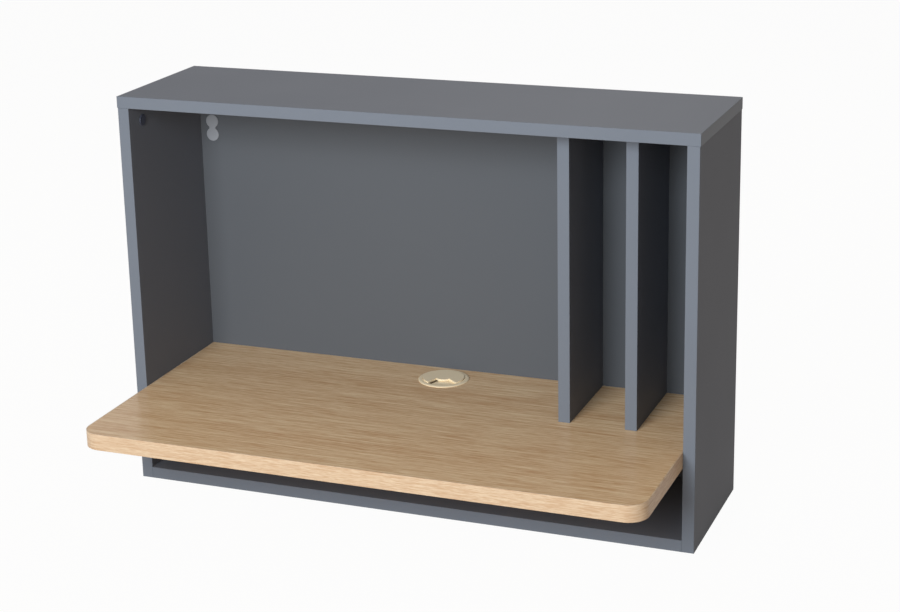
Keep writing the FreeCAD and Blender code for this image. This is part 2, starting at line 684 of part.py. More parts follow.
def make_cam_fittings():
    """Cam discs: a channel for the bolt's head and a cross recess in the face."""
    body = new_body("cam_fitting")
    sketch = new_sketch(body, "XY_Plane", "-Sizes.cam_height")
    circles(sketch, "2 * Sizes.cam_radius", [("0", "0")])
    pad(body, sketch, "Sizes.cam_height")
    channel = new_sketch(body, "YZ_Plane", "-Sizes.cam_channel_back")
    half = "Sizes.cam_channel / 2"
    rectangle(channel, "-" + half, half, "-Sizes.cam_height", f"{half} - Sizes.cam_axis_depth")
    pocket(body, channel, "Sizes.cam_channel_back + 2 * Sizes.cam_radius", along=True)
    recess = new_sketch(body, "XY_Plane")
    cross(recess)
    pocket(body, recess, "Sizes.recess_depth")
    spots = []
    cam_height = "Sizes.side_height - Sizes.cam_distance"
    for y in CAMS_Y:
        depth = f"Places.front_y + {y}"
        spots.append((facing(RIGHT, UP), ("-Places.inner_half", depth, cam_height)))
        spots.append((facing(LEFT, UP), ("Places.inner_half", depth, cam_height)))
    reach = "Places.inner_half - Sizes.cam_distance"
    for face in ("0", "Places.worktop_under"):
        for y in CAMS_Y:
            depth = f"Places.front_y + {y}"
            spots.append((facing(DOWN, LEFT), (f"-({reach})", depth, face)))
            spots.append((facing(DOWN, RIGHT), (reach, depth, face)))
    group("cam_fittings", body, spots)


def make_cam_bolts():
    """Bolts screwed into one board, their heads held by the cams of the other."""
    body = new_body("cam_bolt")
    thread = "Sizes.bolt_thread_radius"
    shank = "Sizes.bolt_shank_radius"
    neck = "Sizes.bolt_neck_radius"
    head = "Sizes.bolt_head_radius"
    end = "Sizes.cam_distance - Sizes.bolt_reach_short"
    head_start = f"{end} - Sizes.bolt_head_length"
    neck_start = f"{head_start} - Sizes.bolt_neck_length"
    turned(body, [
        ("0", "-Sizes.bolt_thread_length"), (thread, "-Sizes.bolt_thread_length"), (thread, "0"),
        (shank, "0"), (shank, neck_start), (neck, neck_start), (neck, head_start),
        (head, head_start), (head, end), ("0", end),
    ])
    group("cam_bolts", body, upright_joints(CAMS_Y) + level_joints(CAMS_Y))


def make_cam_covers():
    """Round caps over the four cams that face into the main compartment."""
    body = new_body("cam_cover")
    radius = "Sizes.cam_cover_radius"
    thick = "Sizes.cam_cover_thick"
    bevel = "Sizes.cam_cover_bevel"
    turned(body, [
        ("0", "0"), (radius, "0"), (radius, f"{thick} - {bevel}"),
        (f"{radius} - {bevel}", thick), ("0", thick),
    ])
    height = "Sizes.side_height - Sizes.cam_distance"
    spots = []
    for y in CAMS_Y:
        depth = f"Places.front_y + {y}"
        spots.append((facing(RIGHT, UP), ("-Places.inner_half", depth, height)))
        spots.append((facing(LEFT, UP), ("Places.inner_half", depth, height)))
    group("cam_covers", body, spots)


def make_dowels():
    """Beech dowels beside the cams, and in the dividers' tops."""
    body = new_body("wooden_dowel")
    radius = "Sizes.dowel_radius"
    bevel = "Sizes.dowel_bevel"
    low = "Sizes.dowel_in_face"
    high = "Sizes.dowel_in_end"
    turned(body, [
        ("0", f"-{low}"), (f"{radius} - {bevel}", f"-{low}"), (radius, f"{bevel} - {low}"),
        (radius, f"{high} - {bevel}"), (f"{radius} - {bevel}", high), ("0", high),
    ])
    turn = Rotation(RIGHT, 180)
    tops = [(turn, (x, f"Places.front_y + {y}", "Sizes.side_height"))
            for x in DIVIDER_MIDDLES for y in DIVIDER_FIX_Y]
    group("wooden_dowels", body, upright_joints(DOWELS_Y) + level_joints(DOWELS_Y) + tops)


def make_divider_screws():
    """Sunk-head screws from under the worktop into the dividers."""
    body = new_body("divider_screw")
    sink = "Sizes.divider_screw_sink"
    rim = "Sizes.divider_screw_sink + Sizes.divider_screw_head_rim"
    neck = "Places.divider_screw_neck"
    head = "Sizes.divider_screw_head"
    shank = "Sizes.divider_screw_shank"
    thread = "Sizes.divider_screw_radius"
    turned(body, [
        ("0", sink), (head, sink), (head, rim), (shank, neck), (shank, "Sizes.worktop_thick"),
        (thread, "Sizes.worktop_thick"), (thread, "Sizes.divider_screw_length"),
        ("0", "Sizes.divider_screw_length"),
    ])
    recess = new_sketch(body, "XY_Plane", sink)
    cross(recess)
    pocket(body, recess, "Sizes.recess_depth", along=True)
    spots = [(Rotation(), (x, f"Places.front_y + {y}", "Places.worktop_under"))
             for x in DIVIDER_MIDDLES for y in DIVIDER_FIX_Y]
    group("divider_screws", body, spots)


# ------------------------------------------------------------------ cable grommet
def make_grommet_sleeve():
    """The sleeve drops into the worktop's hole and hangs on its flange; the cap sits in it."""
    body = new_body("grommet_sleeve", "0", "Places.grommet_y", "Places.worktop_top")
    outer = "Sizes.sleeve_outer_radius"
    inner = "Sizes.sleeve_inner_radius"
    flange = "Sizes.flange_radius"
    seat = "Sizes.cap_radius + Sizes.cap_ring_gap"
    turned(body, [
        (inner, "-Sizes.sleeve_length"), (outer, "-Sizes.sleeve_length"), (outer, "0"),
        (flange, "0"), (flange, "Sizes.flange_edge"),
        (f"{flange} - Sizes.flange_slope", "Sizes.flange_height"), (seat, "Sizes.flange_height"),
        (seat, "Sizes.cap_ledge"), (inner, "Sizes.cap_ledge"),
    ])


def cylinder(label, radius, height, low, x="0", back="0"):
    """A cylinder standing above the worktop, on the grommet's axis or a little off it."""
    piece = doc.addObject("Part::Cylinder", label)
    piece.setExpression("Radius", radius)
    piece.setExpression("Height", height)
    place(piece, x, f"Places.grommet_y + {back}", f"Places.worktop_top + {low}")
    return piece


def wedge(label, radius, height, low, start, angle, x="0", back="0"):
    """A slice of such a cylinder between two angles."""
    piece = cylinder(label, radius, height, low, x, back)
    piece.setExpression("Angle", angle)
    piece.Placement = Placement(piece.Placement.Base, Rotation(UP, 1))
    piece.setExpression("Placement.Rotation.Angle", start)
    return piece


def combine(kind, label, first, others):
    """Joins pieces to a first one, or cuts one from it."""
    result = doc.addObject(kind, label)
    if kind == "Part::MultiFuse":
        result.Shapes = [first] + others
        result.Refine = True
    else:
        result.Base = first
        result.Tool = others[0]
    return result


def make_grommet_cap():
    """The lift-out cap: a disc with a pin that carries the shutter, and an open cable notch.

    The notch's two straight sides meet behind the pin, and a round hub is left about the pin.
    """
    disc = cylinder("cap_disc", "Sizes.cap_radius", "Sizes.cap_thick", "Sizes.cap_ledge")
    pin_low = "Places.pin_head_top - Sizes.cap_pin_head_length"
    pin = cylinder("cap_pin", "Sizes.cap_pin_radius", f"Sizes.cap_ledge - ({pin_low})", f"({pin_low})")
    head = cylinder("cap_pin_head", "Sizes.cap_pin_head_radius", "Sizes.cap_pin_head_length",
                    f"({pin_low})")
    whole = combine("Part::MultiFuse", "cap_whole", disc, [pin, head])
    reach = "Sizes.cap_radius + Sizes.cap_notch_apex_left + Sizes.cap_notch_apex_back"
    slice_ = wedge("cap_slice", reach, "Sizes.cap_thick", "Sizes.cap_ledge",
                   "Sizes.cap_notch_start", "Sizes.cap_notch_angle",
                   "-Sizes.cap_notch_apex_left", "Sizes.cap_notch_apex_back")
    hub = cylinder("cap_hub", "Sizes.cap_notch_hub", "Sizes.cap_thick", "Sizes.cap_ledge")
    notch = combine("Part::Cut", "cap_notch", slice_, [hub])
    keep(combine("Part::Cut", "grommet_cap", whole, [notch]), "grommet_cap")


def make_grommet_shutter():
    """The rotary shutter under the cap that opens or closes the cable notch."""
    low = "Places.shutter_floor"
    leaf = wedge("shutter_leaf", "Sizes.shutter_radius", "Sizes.shutter_thick", low,
                 "Sizes.shutter_start", "Sizes.shutter_angle")
    hub = cylinder("shutter_hub", "Sizes.shutter_hub_radius", "Sizes.shutter_thick", low)
    whole = combine("Part::MultiFuse", "shutter_whole", leaf, [hub])
    bore = cylinder("shutter_bore", "Sizes.cap_pin_radius + Sizes.shutter_pin_gap",
                    "Sizes.shutter_thick", low)
    keep(combine("Part::Cut", "grommet_shutter", whole, [bore]), "grommet_shutter")


# ------------------------------------------------------------------ concealed hangers
def hanger_body(label, below="0", turn=None):
    """A left-hanger piece; its origin is the pinion's axis at the back panel's rear face."""
    return new_body(label, "Places.hanger_x", "Places.hanger_y", f"Places.hanger_z - {below}", turn)


def make_housing():
    """The folded steel housing screwed to the side panel behind the back panel."""
    body = hanger_body("left_hanger_housing")
    sketch = new_sketch(body, "XY_Plane", "-Sizes.housing_below")
    left = "-Sizes.hanger_axis_in"
    right = "Sizes.housing_width - Sizes.hanger_axis_in"
    wall = "Sizes.housing_wall"
    front = "Sizes.hanger_gap"
    outline(sketch, [
        (left, front), (right, front), (right, f"{front} + Sizes.housing_lip"),
        (f"{right} - {wall}", f"{front} + Sizes.housing_lip"), (f"{right} - {wall}", f"{front} + {wall}"),
        (f"{left} + {wall}", f"{front} + {wall}"), (f"{left} + {wall}", f"{front} + Sizes.housing_flange"),
        (left, f"{front} + Sizes.housing_flange"),
    ])
    pad(body, sketch, "Sizes.housing_below + Sizes.housing_above")
    bearing = "2 * (Sizes.pinion_shaft_radius + Sizes.pinion_shaft_gap)"
    drill(body, "XZ_Plane", "0", bearing, "Places.slide_front", [("0", "0")])
    slot = new_sketch(body, "XZ_Plane")
    half = "(Sizes.depth_screw_head_radius + Sizes.depth_screw_slot_gap)"
    reach = f"({half} + Sizes.height_travel)"
    rectangle(slot, "-" + half, half, f"-Sizes.adjuster_spacing - {reach}",
              f"{reach} - Sizes.adjuster_spacing")
    pocket(body, slot, "Places.slide_front")
    hole = "2 * (Sizes.hanger_screw_radius + Sizes.hanger_screw_gap)"
    spots = [("Sizes.hanger_screw_back", "Sizes.hanger_screw_high"),
             ("Sizes.hanger_screw_back", "-Sizes.hanger_screw_low")]
    drill(body, "YZ_Plane", f"{left} + {wall}", hole, wall, spots)
    mirror(body, "right_hanger_housing")


def gear_tooth(body, root, tip, middle, low):
    """One tooth: a short trapezoid that points along X, standing from one height."""
    sketch = new_sketch(body, "XY_Plane", low)
    wide = "Sizes.tooth_root_half"
    narrow = "Sizes.tooth_tip_half"
    outline(sketch, [
        (root, f"{middle} - {wide}"), (tip, f"{middle} - {narrow}"),
        (tip, f"{middle} + {narrow}"), (root, f"{middle} + {wide}"),
    ])
    return pad(body, sketch, "Sizes.slide_thick")


def make_pinion():
    """The height pinion turns in the housing; its head faces the upper adjuster hole."""
    body = hanger_body("left_height_pinion", turn=TO_WALL)
    head_back = "Sizes.hanger_gap - Sizes.pinion_head_gap"
    head_front = f"{head_back} - Sizes.pinion_head_length"
    head = "Sizes.pinion_head_radius"
    shaft = "Sizes.pinion_shaft_radius"
    root = "Places.gear_root"
    turned(body, [
        ("0", head_front), (head, head_front), (head, head_back), (shaft, head_back),
        (shaft, "Places.slide_front"), (root, "Places.slide_front"), (root, "Places.slide_back"),
        ("0", "Places.slide_back"),
    ])
    recess = new_sketch(body, "XY_Plane", head_front)
    cross(recess)
    pocket(body, recess, "Sizes.recess_depth", along=True)
    tooth = gear_tooth(body, f"{root} - Sizes.gear_play", "Places.gear_tip", "0", "Places.slide_front")
    ring = body.newObject("PartDesign::PolarPattern", "pinion_teeth")
    ring.Originals = [tooth]
    ring.Axis = (origin_part(body, "Z_Axis"), [""])
    ring.Angle = 360
    ring.setExpression("Occurrences", "Sizes.gear_teeth")
    body.Tip = ring
    mirror(body, "right_height_pinion")


def make_slide():
    """The height slide: a steel plate with a window, a rack in it and the screw's bearing."""
    body = hanger_body("left_height_slide", turn=TO_WALL)
    sketch = new_sketch(body, "XY_Plane", "Places.slide_front")
    left = "Sizes.housing_wall + Sizes.slide_flange_gap - Sizes.hanger_axis_in"
    foot = "Sizes.adjuster_spacing + Sizes.slide_foot"
    rectangle(sketch, left, "Places.slide_right", "-Sizes.slide_above", foot)
    pad(body, sketch, "Sizes.slide_thick")
    window = new_sketch(body, "XY_Plane", "Places.slide_back")
    clear = "-(Places.gear_tip + Sizes.window_play)"
    rectangle(window, clear, "Places.rack_root", "-Places.window_half", "Places.window_half")
    pocket(body, window, "Sizes.slide_thick")
    bearing = "2 * (Sizes.depth_screw_radius + Sizes.depth_screw_gap)"
    drill(body, "XY_Plane", "Places.slide_back", bearing, "Sizes.slide_thick",
          [("0", "Sizes.adjuster_spacing")])
    first = "Places.gear_pitch * (0.5 - Sizes.rack_half_teeth)"
    tooth = gear_tooth(body, "Places.rack_root + Sizes.gear_play", "Places.rack_tip", first,
                       "Places.slide_front")
    row = body.newObject("PartDesign::LinearPattern", "rack_row")
    row.Originals = [tooth]
    row.Direction = (origin_part(body, "Y_Axis"), [""])
    row.setExpression("Length", "Places.gear_pitch * (2 * Sizes.rack_half_teeth - 1)")
    row.setExpression("Occurrences", "2 * Sizes.rack_half_teeth")
    body.Tip = row
    mirror(body, "right_height_slide")


def make_depth_screw():
    """The depth screw turns in the slide, behind the lower adjuster hole, and moves the hook."""
    body = hanger_body("left_depth_screw", "Sizes.adjuster_spacing", TO_WALL)
    head_back = "Places.slide_front - Sizes.depth_screw_head_gap"
    head_front = f"{head_back} - Sizes.depth_screw_head_length"
    head = "Sizes.depth_screw_head_radius"
    core = "Sizes.depth_screw_radius"
    end = "Places.hook_back + Sizes.depth_travel + Sizes.depth_screw_spare"
    turned(body, [
        ("0", head_front), (head, head_front), (head, head_back), (core, head_back),
        (core, "Places.collar_front"), (head, "Places.collar_front"), (head, "Places.collar_back"),
        (core, "Places.collar_back"), (core, end), ("0", end),
    ])
    recess = new_sketch(body, "XY_Plane", head_front)
    cross(recess)
    pocket(body, recess, "Sizes.recess_depth", along=True)
    mirror(body, "right_depth_screw")


def make_hook():
    """The bent hook rides on the depth screw and hangs on the wall plate."""
    body = hanger_body("left_hanger_hook")
    sketch = new_sketch(body, "YZ_Plane", "-Sizes.hook_width / 2")
    foot = "-Sizes.adjuster_spacing - Sizes.hook_foot"
    lip_low = "Sizes.hook_top - Sizes.hook_lip_drop"
    outline(sketch, [
        ("Places.hook_front", foot), ("Places.hook_back", foot), ("Places.hook_back", "Places.hook_under"),
        ("Sizes.hook_lip_front", "Places.hook_under"), ("Sizes.hook_lip_front", lip_low),
        ("Places.hook_lip_back", lip_low), ("Places.hook_lip_back", "Sizes.hook_top"),
        ("Places.hook_front", "Sizes.hook_top"),
    ])
    pad(body, sketch, "Sizes.hook_width")
    thread = "2 * (Sizes.depth_screw_radius + Sizes.depth_screw_gap)"
    drill(body, "XZ_Plane", "-Places.hook_front", thread, "Sizes.hook_thick",
          [("0", "-Sizes.adjuster_spacing")])
    mirror(body, "right_hanger_hook")


def make_wall_plate():
    """The jogged plate that is screwed to the wall, with two screw holes."""
    body = hanger_body("left_wall_plate")
    sketch = new_sketch(body, "YZ_Plane", "Places.plate_left")
    outline(sketch, [
        ("Sizes.wall_recess", "Places.plate_foot"), ("Sizes.wall_recess", "Places.plate_base_top"),
        ("Places.plate_lip_back", "Places.plate_jog_top"), ("Places.plate_lip_back", "Places.hook_under"),
        ("Places.plate_lip_front", "Places.hook_under"),
        ("Places.plate_lip_front", "Places.plate_jog_top - Sizes.plate_thick / 2"),
        ("Places.plate_front", "Places.plate_base_top - Sizes.plate_thick / 2"),
        ("Places.plate_front", "Places.plate_foot"),
    ])
    pad(body, sketch, "Sizes.plate_width")
    spots = [("Places.plate_hole_left", "Places.plate_hole_z"),
             ("Places.plate_hole_left + Sizes.plate_hole_spacing", "Places.plate_hole_z")]
    drill(body, "XZ_Plane", "-Places.plate_front", "2 * Sizes.plate_hole_radius", "Sizes.plate_thick",
          spots)
    mirror(body, "right_wall_plate")


def make_hanger_screws():
    """Pan-head screws that hold each housing to its side panel."""
    body = new_body("hanger_screw")
    head = "Sizes.hanger_screw_head_radius"
    core = "Sizes.hanger_screw_radius"
    end = "-Sizes.hanger_screw_length"
    top = "Sizes.hanger_screw_head_length"
    turned(body, [("0", end), (core, end), (core, "0"), (head, "0"), (head, top), ("0", top)])
    recess = new_sketch(body, "XY_Plane", top)
    cross(recess)
    pocket(body, recess, "Sizes.recess_depth / 2")
    x = "(Places.inner_half - Sizes.housing_wall)"
    y = "Places.hanger_y + Sizes.hanger_screw_back"
    spots = []
    for z in ("Places.hanger_z + Sizes.hanger_screw_high", "Places.hanger_z - Sizes.hanger_screw_low"):
        spots.append((facing(RIGHT, UP), ("-" + x, y, z)))
        spots.append((facing(LEFT, UP), (x, y, z)))
    group("hanger_screws", body, spots)


def make_hanger_cover():
    """The figure-8 cover: two discs and a waist, with two hollow plugs in the adjuster holes."""
    body = new_body("left_hanger_cover", "Places.hanger_x", "Places.front_y + Places.back_front",
                    "Places.hanger_z")
    centres = (("0", "0"), ("0", "-Sizes.adjuster_spacing"))
    for centre in centres:
        disc = new_sketch(body, "XZ_Plane")
        circles(disc, "2 * Sizes.cover_radius", [centre])
        pad(body, disc, "Sizes.cover_thick")
    waist = new_sketch(body, "XZ_Plane")
    half = "Sizes.cover_waist / 2"
    rectangle(waist, "-" + half, half, "-Sizes.adjuster_spacing", "0")
    pad(body, waist, "Sizes.cover_thick")
    plug = "2 * (Sizes.adjuster_hole_radius - Sizes.cover_plug_gap)"
    for centre in centres:
        ring = new_sketch(body, "XZ_Plane")
        circles(ring, plug, [centre])
        circles(ring, f"{plug} - 2 * Sizes.cover_plug_wall", [centre])
        pad(body, ring, "Sizes.cover_plug_length", against=True)
    mirror(body, "right_hanger_cover")


# ------------------------------------------------------------------ build, check and write
make_top_panel()
make_side_panel()
make_bottom_panel()
make_back_panel()
make_board_bands()
make_worktop()
make_worktop_band()
make_divider("left_divider", "Places.left_divider_x")
make_divider("right_divider", "Places.right_divider_x")
make_cam_fittings()
make_cam_bolts()
make_cam_covers()
make_dowels()
make_divider_screws()
make_grommet_sleeve()
make_grommet_cap()
make_grommet_shutter()
make_housing()
make_pinion()
make_slide()
make_depth_screw()
make_hook()
make_wall_plate()
make_hanger_screws()
make_hanger_cover()
doc.recompute()


def check_document():
    """Stops before anything is written if an object failed or a cut removed nothing."""
    for item in doc.Objects:
        if "Invalid" in item.State or "Error" in item.State:
            raise RuntimeError(f"{item.Label} did not compute: {item.State}")
        if item.TypeId == "PartDesign::Pocket":
            if item.Shape.Volume > item.BaseFeature.Shape.Volume - 0.01:
                raise RuntimeError(f"{item.Label} cut nothing")
    for item in nodes:
        if item.Shape.isNull() or not item.Shape.isValid():
            raise RuntimeError(f"{item.Label} has no valid shape")


check_document()
os.makedirs("parts", exist_ok=True)
for item in nodes:
    item.Shape.exportStep(f"parts/{item.Label}.step")
    box = item.Shape.BoundBox
    corner = f"{box.XMin:.1f} {box.YMin:.1f} {box.ZMin:.1f} to {box.XMax:.1f} {box.YMax:.1f} {box.ZMax:.1f}"
    print(f"{item.Label}: {len(item.Shape.Solids)} solids, {item.Shape.Volume:.0f} mm3, {corner}")
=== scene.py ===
import json
import math
from collections import defaultdict

import bmesh
import bpy
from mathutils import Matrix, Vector


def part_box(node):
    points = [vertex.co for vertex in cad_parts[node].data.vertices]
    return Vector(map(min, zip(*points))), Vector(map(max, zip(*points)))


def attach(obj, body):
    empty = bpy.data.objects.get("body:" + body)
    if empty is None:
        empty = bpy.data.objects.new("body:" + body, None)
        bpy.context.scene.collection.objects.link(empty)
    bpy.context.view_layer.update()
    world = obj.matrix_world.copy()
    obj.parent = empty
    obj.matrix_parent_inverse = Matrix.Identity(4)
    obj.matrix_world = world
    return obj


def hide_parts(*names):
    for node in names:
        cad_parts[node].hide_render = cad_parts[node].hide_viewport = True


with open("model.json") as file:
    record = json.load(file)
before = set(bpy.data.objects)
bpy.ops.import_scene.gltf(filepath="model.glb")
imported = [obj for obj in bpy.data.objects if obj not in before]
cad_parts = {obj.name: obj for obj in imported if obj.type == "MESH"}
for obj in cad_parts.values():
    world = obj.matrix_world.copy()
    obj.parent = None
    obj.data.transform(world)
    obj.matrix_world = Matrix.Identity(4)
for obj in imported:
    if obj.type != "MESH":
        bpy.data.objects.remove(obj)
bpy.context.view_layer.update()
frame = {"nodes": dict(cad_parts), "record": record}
nodes, record = frame["nodes"], frame["record"]
slot_of = {row["node"]: row["material_slot"] for row in record["subparts"]}
body_of = {name: body for body, names in record["behaviour"]["bodies"].items() for name in names}

# %% [markdown]
# Colours are easiest to judge on the 0 to 255 scale of a screen, but a shader works with linear
# light. One small function turns the first into the second, so that every colour below can be
# written the way a paint chart gives it.
# %% Colour helper
WHITE = (1.0, 1.0, 1.0, 1.0)


def paint(red, green, blue):
    """A screen colour from 0 to 255 as the linear colour that a shader wants."""
    linear = [(c / 255 / 12.92) if c <= 10 else ((c / 255 + 0.055) / 1.055) ** 2.4
              for c in (red, green, blue)]
    return (*linear, 1.0)


print("mid grey is", [round(c, 3) for c in paint(128, 128, 128)[:3]])

# %% [markdown]
# A material is a small net of nodes, and a few helpers keep the nets short to read. One adds a node
# and fills its sockets, one opens a new group with named inputs and outputs, one places a finished
# group in another net, and the rest are short names for the nodes that come up again and again.
# %% Node helpers
NOISE_MIDDLE = 0.5


def plug(tree, item, sockets):
    """Fills a node's inputs by name or number, with plain values or other nodes' outputs."""
    for name, value in sockets.items():
        if isinstance(value, bpy.types.NodeSocket):
            tree.links.new(value, item.inputs[name])
        else:
            item.inputs[name].default_value = value


def add(tree, kind, sockets=None, **settings):
    """Adds one node with its settings and its sockets."""
    item = tree.nodes.new(kind)
    for name, value in settings.items():
        setattr(item, name, value)
    plug(tree, item, sockets or {})
    return item


def open_group(name, inputs, outputs, kind="ShaderNodeTree"):
    """A new group with named sockets; returns the tree, its input sockets and its output node."""
    tree = bpy.data.node_groups.new(name, kind)
    for label, (sort, value) in inputs.items():
        socket = tree.interface.new_socket(label, in_out="INPUT", socket_type="NodeSocket" + sort)
        if value is not None:
            socket.default_value = value
    for label, sort in outputs.items():
        tree.interface.new_socket(label, in_out="OUTPUT", socket_type="NodeSocket" + sort)
    return tree, tree.nodes.new("NodeGroupInput").outputs, tree.nodes.new("NodeGroupOutput")


def use(tree, group, sockets):
    """Places a shader group in a tree and fills its inputs."""
    return add(tree, "ShaderNodeGroup", sockets, node_tree=group).outputs


def math_node(tree, operation, first, second=0.0, third=0.0):
    """One Math node's result."""
    sockets = {0: first, 1: second, 2: third}
    return add(tree, "ShaderNodeMath", sockets, operation=operation).outputs[0]


def weighted_sum(tree, *pairs):
    """The sum of values that are each multiplied by a weight."""
    total = 0.0
    for value, weight in pairs:
        total = math_node(tree, "MULTIPLY_ADD", value, weight, total)
    return total


def vector_math(tree, operation, *vectors):
    """One Vector Math node's result."""
    sockets = dict(enumerate(vectors))
    return add(tree, "ShaderNodeVectorMath", sockets, operation=operation).outputs[0]


def join(tree, x=0.0, y=0.0, z=0.0):
    """A vector from three values."""
    return add(tree, "ShaderNodeCombineXYZ", {0: x, 1: y, 2: z}).outputs[0]


def split(tree, vector):
    """The three values of a vector."""
    return add(tree, "ShaderNodeSeparateXYZ", {0: vector}).outputs


def noise(tree, vector, scale, detail):
    """A Noise node; in metres, its scale is the number of marks in one metre."""
    sockets = {"Vector": vector, "Scale": scale, "Detail": detail}
    return add(tree, "ShaderNodeTexNoise", sockets).outputs


def blend_colour(tree, share, first, second):
    """The mix of two colours; a Mix node numbers its colour sockets 6 and 7, their result 2."""
    sockets = {0: share, 6: first, 7: second}
    return add(tree, "ShaderNodeMix", sockets, data_type="RGBA").outputs[2]


print("node helpers are ready")

# %% [markdown]
# Coated boards and moulded plastic are never mirror smooth: a fine pebble skin breaks up the shine.
# It could be an image, but a noise with a real size in metres fits any part and never shows a tile.
# The group returns a height for the bump and a slow change for the roughness, like faint handling.
# %% Shared effect: the pebbled skin of coated boards and plastic
HANDLING_MARKS = 7.0


def make_skin_group():
    tree, given, result = open_group(
        "pebble_skin",
        {"Vector": ("Vector", None), "Pebble Size": ("Float", 0.0006),
         "Roughness": ("Float", 0.4), "Variation": ("Float", 0.05)},
        {"Height": "Float", "Roughness": "Float"})
    count = math_node(tree, "DIVIDE", 1.0, given["Pebble Size"])
    pebbles = noise(tree, given["Vector"], count, detail=2.0)[0]
    handling = noise(tree, given["Vector"], HANDLING_MARKS, detail=3.0)[0]
    centred = math_node(tree, "SUBTRACT", handling, NOISE_MIDDLE)
    rough = math_node(tree, "MULTIPLY_ADD", centred, given["Variation"], given["Roughness"])
    plug(tree, result, {"Height": pebbles, "Roughness": rough})
    return tree


pebble_skin = make_skin_group()
print("group", pebble_skin.name)

# %% [markdown]
# Where no edge band is glued on, the core of a board shows: chips of wood pressed together. Voronoi
# cells look like such chips when each cell takes its own brown, and a noise frays their outlines.
# The same group serves the grey boards' rear edges and the worktop's hidden end. A second group
# tells where a board is bare, by the place and the direction of its surface.
# %% Shared effect: the chip core of a board
CHIP_DARK, CHIP_LIGHT = paint(140, 108, 74), paint(214, 180, 134)
CHIP_SHAPE = (0.45, 0.45, 1.6)
CHIP_FRAY = (0.0016, 0.0016, 0.0016)
CELL_WEIGHT, FRAY_WEIGHT = 0.55, 0.6
REAR_EDGE = 0.224
NO_FOOT = -1.0
FACING = 0.9


def make_chip_group():
    tree, given, result = open_group(
        "chip_core", {"Vector": ("Vector", None), "Chip Size": ("Float", 0.001)},
        {"Color": "Color"})
    count = math_node(tree, "DIVIDE", 1.0, given["Chip Size"])
    squashed = vector_math(tree, "MULTIPLY", given["Vector"], CHIP_SHAPE)
    wander = noise(tree, squashed, count, detail=3.0)
    frayed = vector_math(tree, "MULTIPLY_ADD", wander["Color"], CHIP_FRAY, squashed)
    chips = add(tree, "ShaderNodeTexVoronoi", {"Vector": frayed, "Scale": count}).outputs["Color"]
    tone = add(tree, "ShaderNodeSeparateColor", {0: chips}).outputs[0]
    mixed = weighted_sum(tree, (tone, CELL_WEIGHT), (wander[0], FRAY_WEIGHT))
    plug(tree, result, {"Color": blend_colour(tree, mixed, CHIP_DARK, CHIP_LIGHT)})
    return tree


def make_bare_edge_group():
    """Where a coated board is bare: its rear edge, and its foot if it stands on the floor."""
    tree, given, result = open_group(
        "bare_edge",
        {"Vector": ("Vector", None), "Normal": ("Vector", None), "Rear": ("Float", REAR_EDGE),
         "Foot": ("Float", NO_FOOT)},
        {"Mask": "Float"})
    place, facing = split(tree, given["Vector"]), split(tree, given["Normal"])
    far = math_node(tree, "GREATER_THAN", place[1], given["Rear"])
    back = math_node(tree, "GREATER_THAN", facing[1], FACING)
    low = math_node(tree, "LESS_THAN", place[2], given["Foot"])
    down = math_node(tree, "LESS_THAN", facing[2], -FACING)
    rear = math_node(tree, "MULTIPLY", far, back)
    foot = math_node(tree, "MULTIPLY", low, down)
    plug(tree, result, {"Mask": math_node(tree, "MAXIMUM", rear, foot)})
    return tree


chip_core = make_chip_group()
bare_edge = make_bare_edge_group()
print("groups", chip_core.name, "and", bare_edge.name)

# %% [markdown]
# The oak decor is straight grained. It has wide soft bands, streaks a few millimetres wide, fine
# fibres inside them, and short dark pores. All four are noises that are stretched along the first
# axis of the vector, so that one unit of noise is as long and as wide as the mark on the wood. The
# worktop gives it its own object coordinates, and the edge band gives it the band's length and
# height, so that the grain follows the band round the corners.
# %% Shared effect: straight oak grain
OAK_LIGHT, OAK_DARK, OAK_PORE = paint(245, 216, 176), paint(206, 161, 117), paint(178, 135, 95)
FIBRE_RATIO = 14.0
DRIFT_MARKS = 3.0
DRIFT_SHAPE = (1.0, 2.5, 2.5)
DRIFT_REACH = (0.0, 0.008, 0.008)
BAND_WEIGHT, STREAK_WEIGHT, FIBRE_WEIGHT = 0.16, 0.49, 0.35
NOISE_SPREAD = 2.0
PORE_FROM, PORE_FULL = 0.6, 0.72
PORE_SINK = -0.6


def grain_noise(tree, vector, width, ratio, detail=2.0):
    """Noise marks of a width in metres that are longer than wide by a ratio."""
    across = math_node(tree, "DIVIDE", 1.0, width)
    along = math_node(tree, "DIVIDE", across, ratio)
    laid = vector_math(tree, "MULTIPLY", vector, join(tree, along, across, across))
    return noise(tree, laid, scale=1.0, detail=detail)[0]


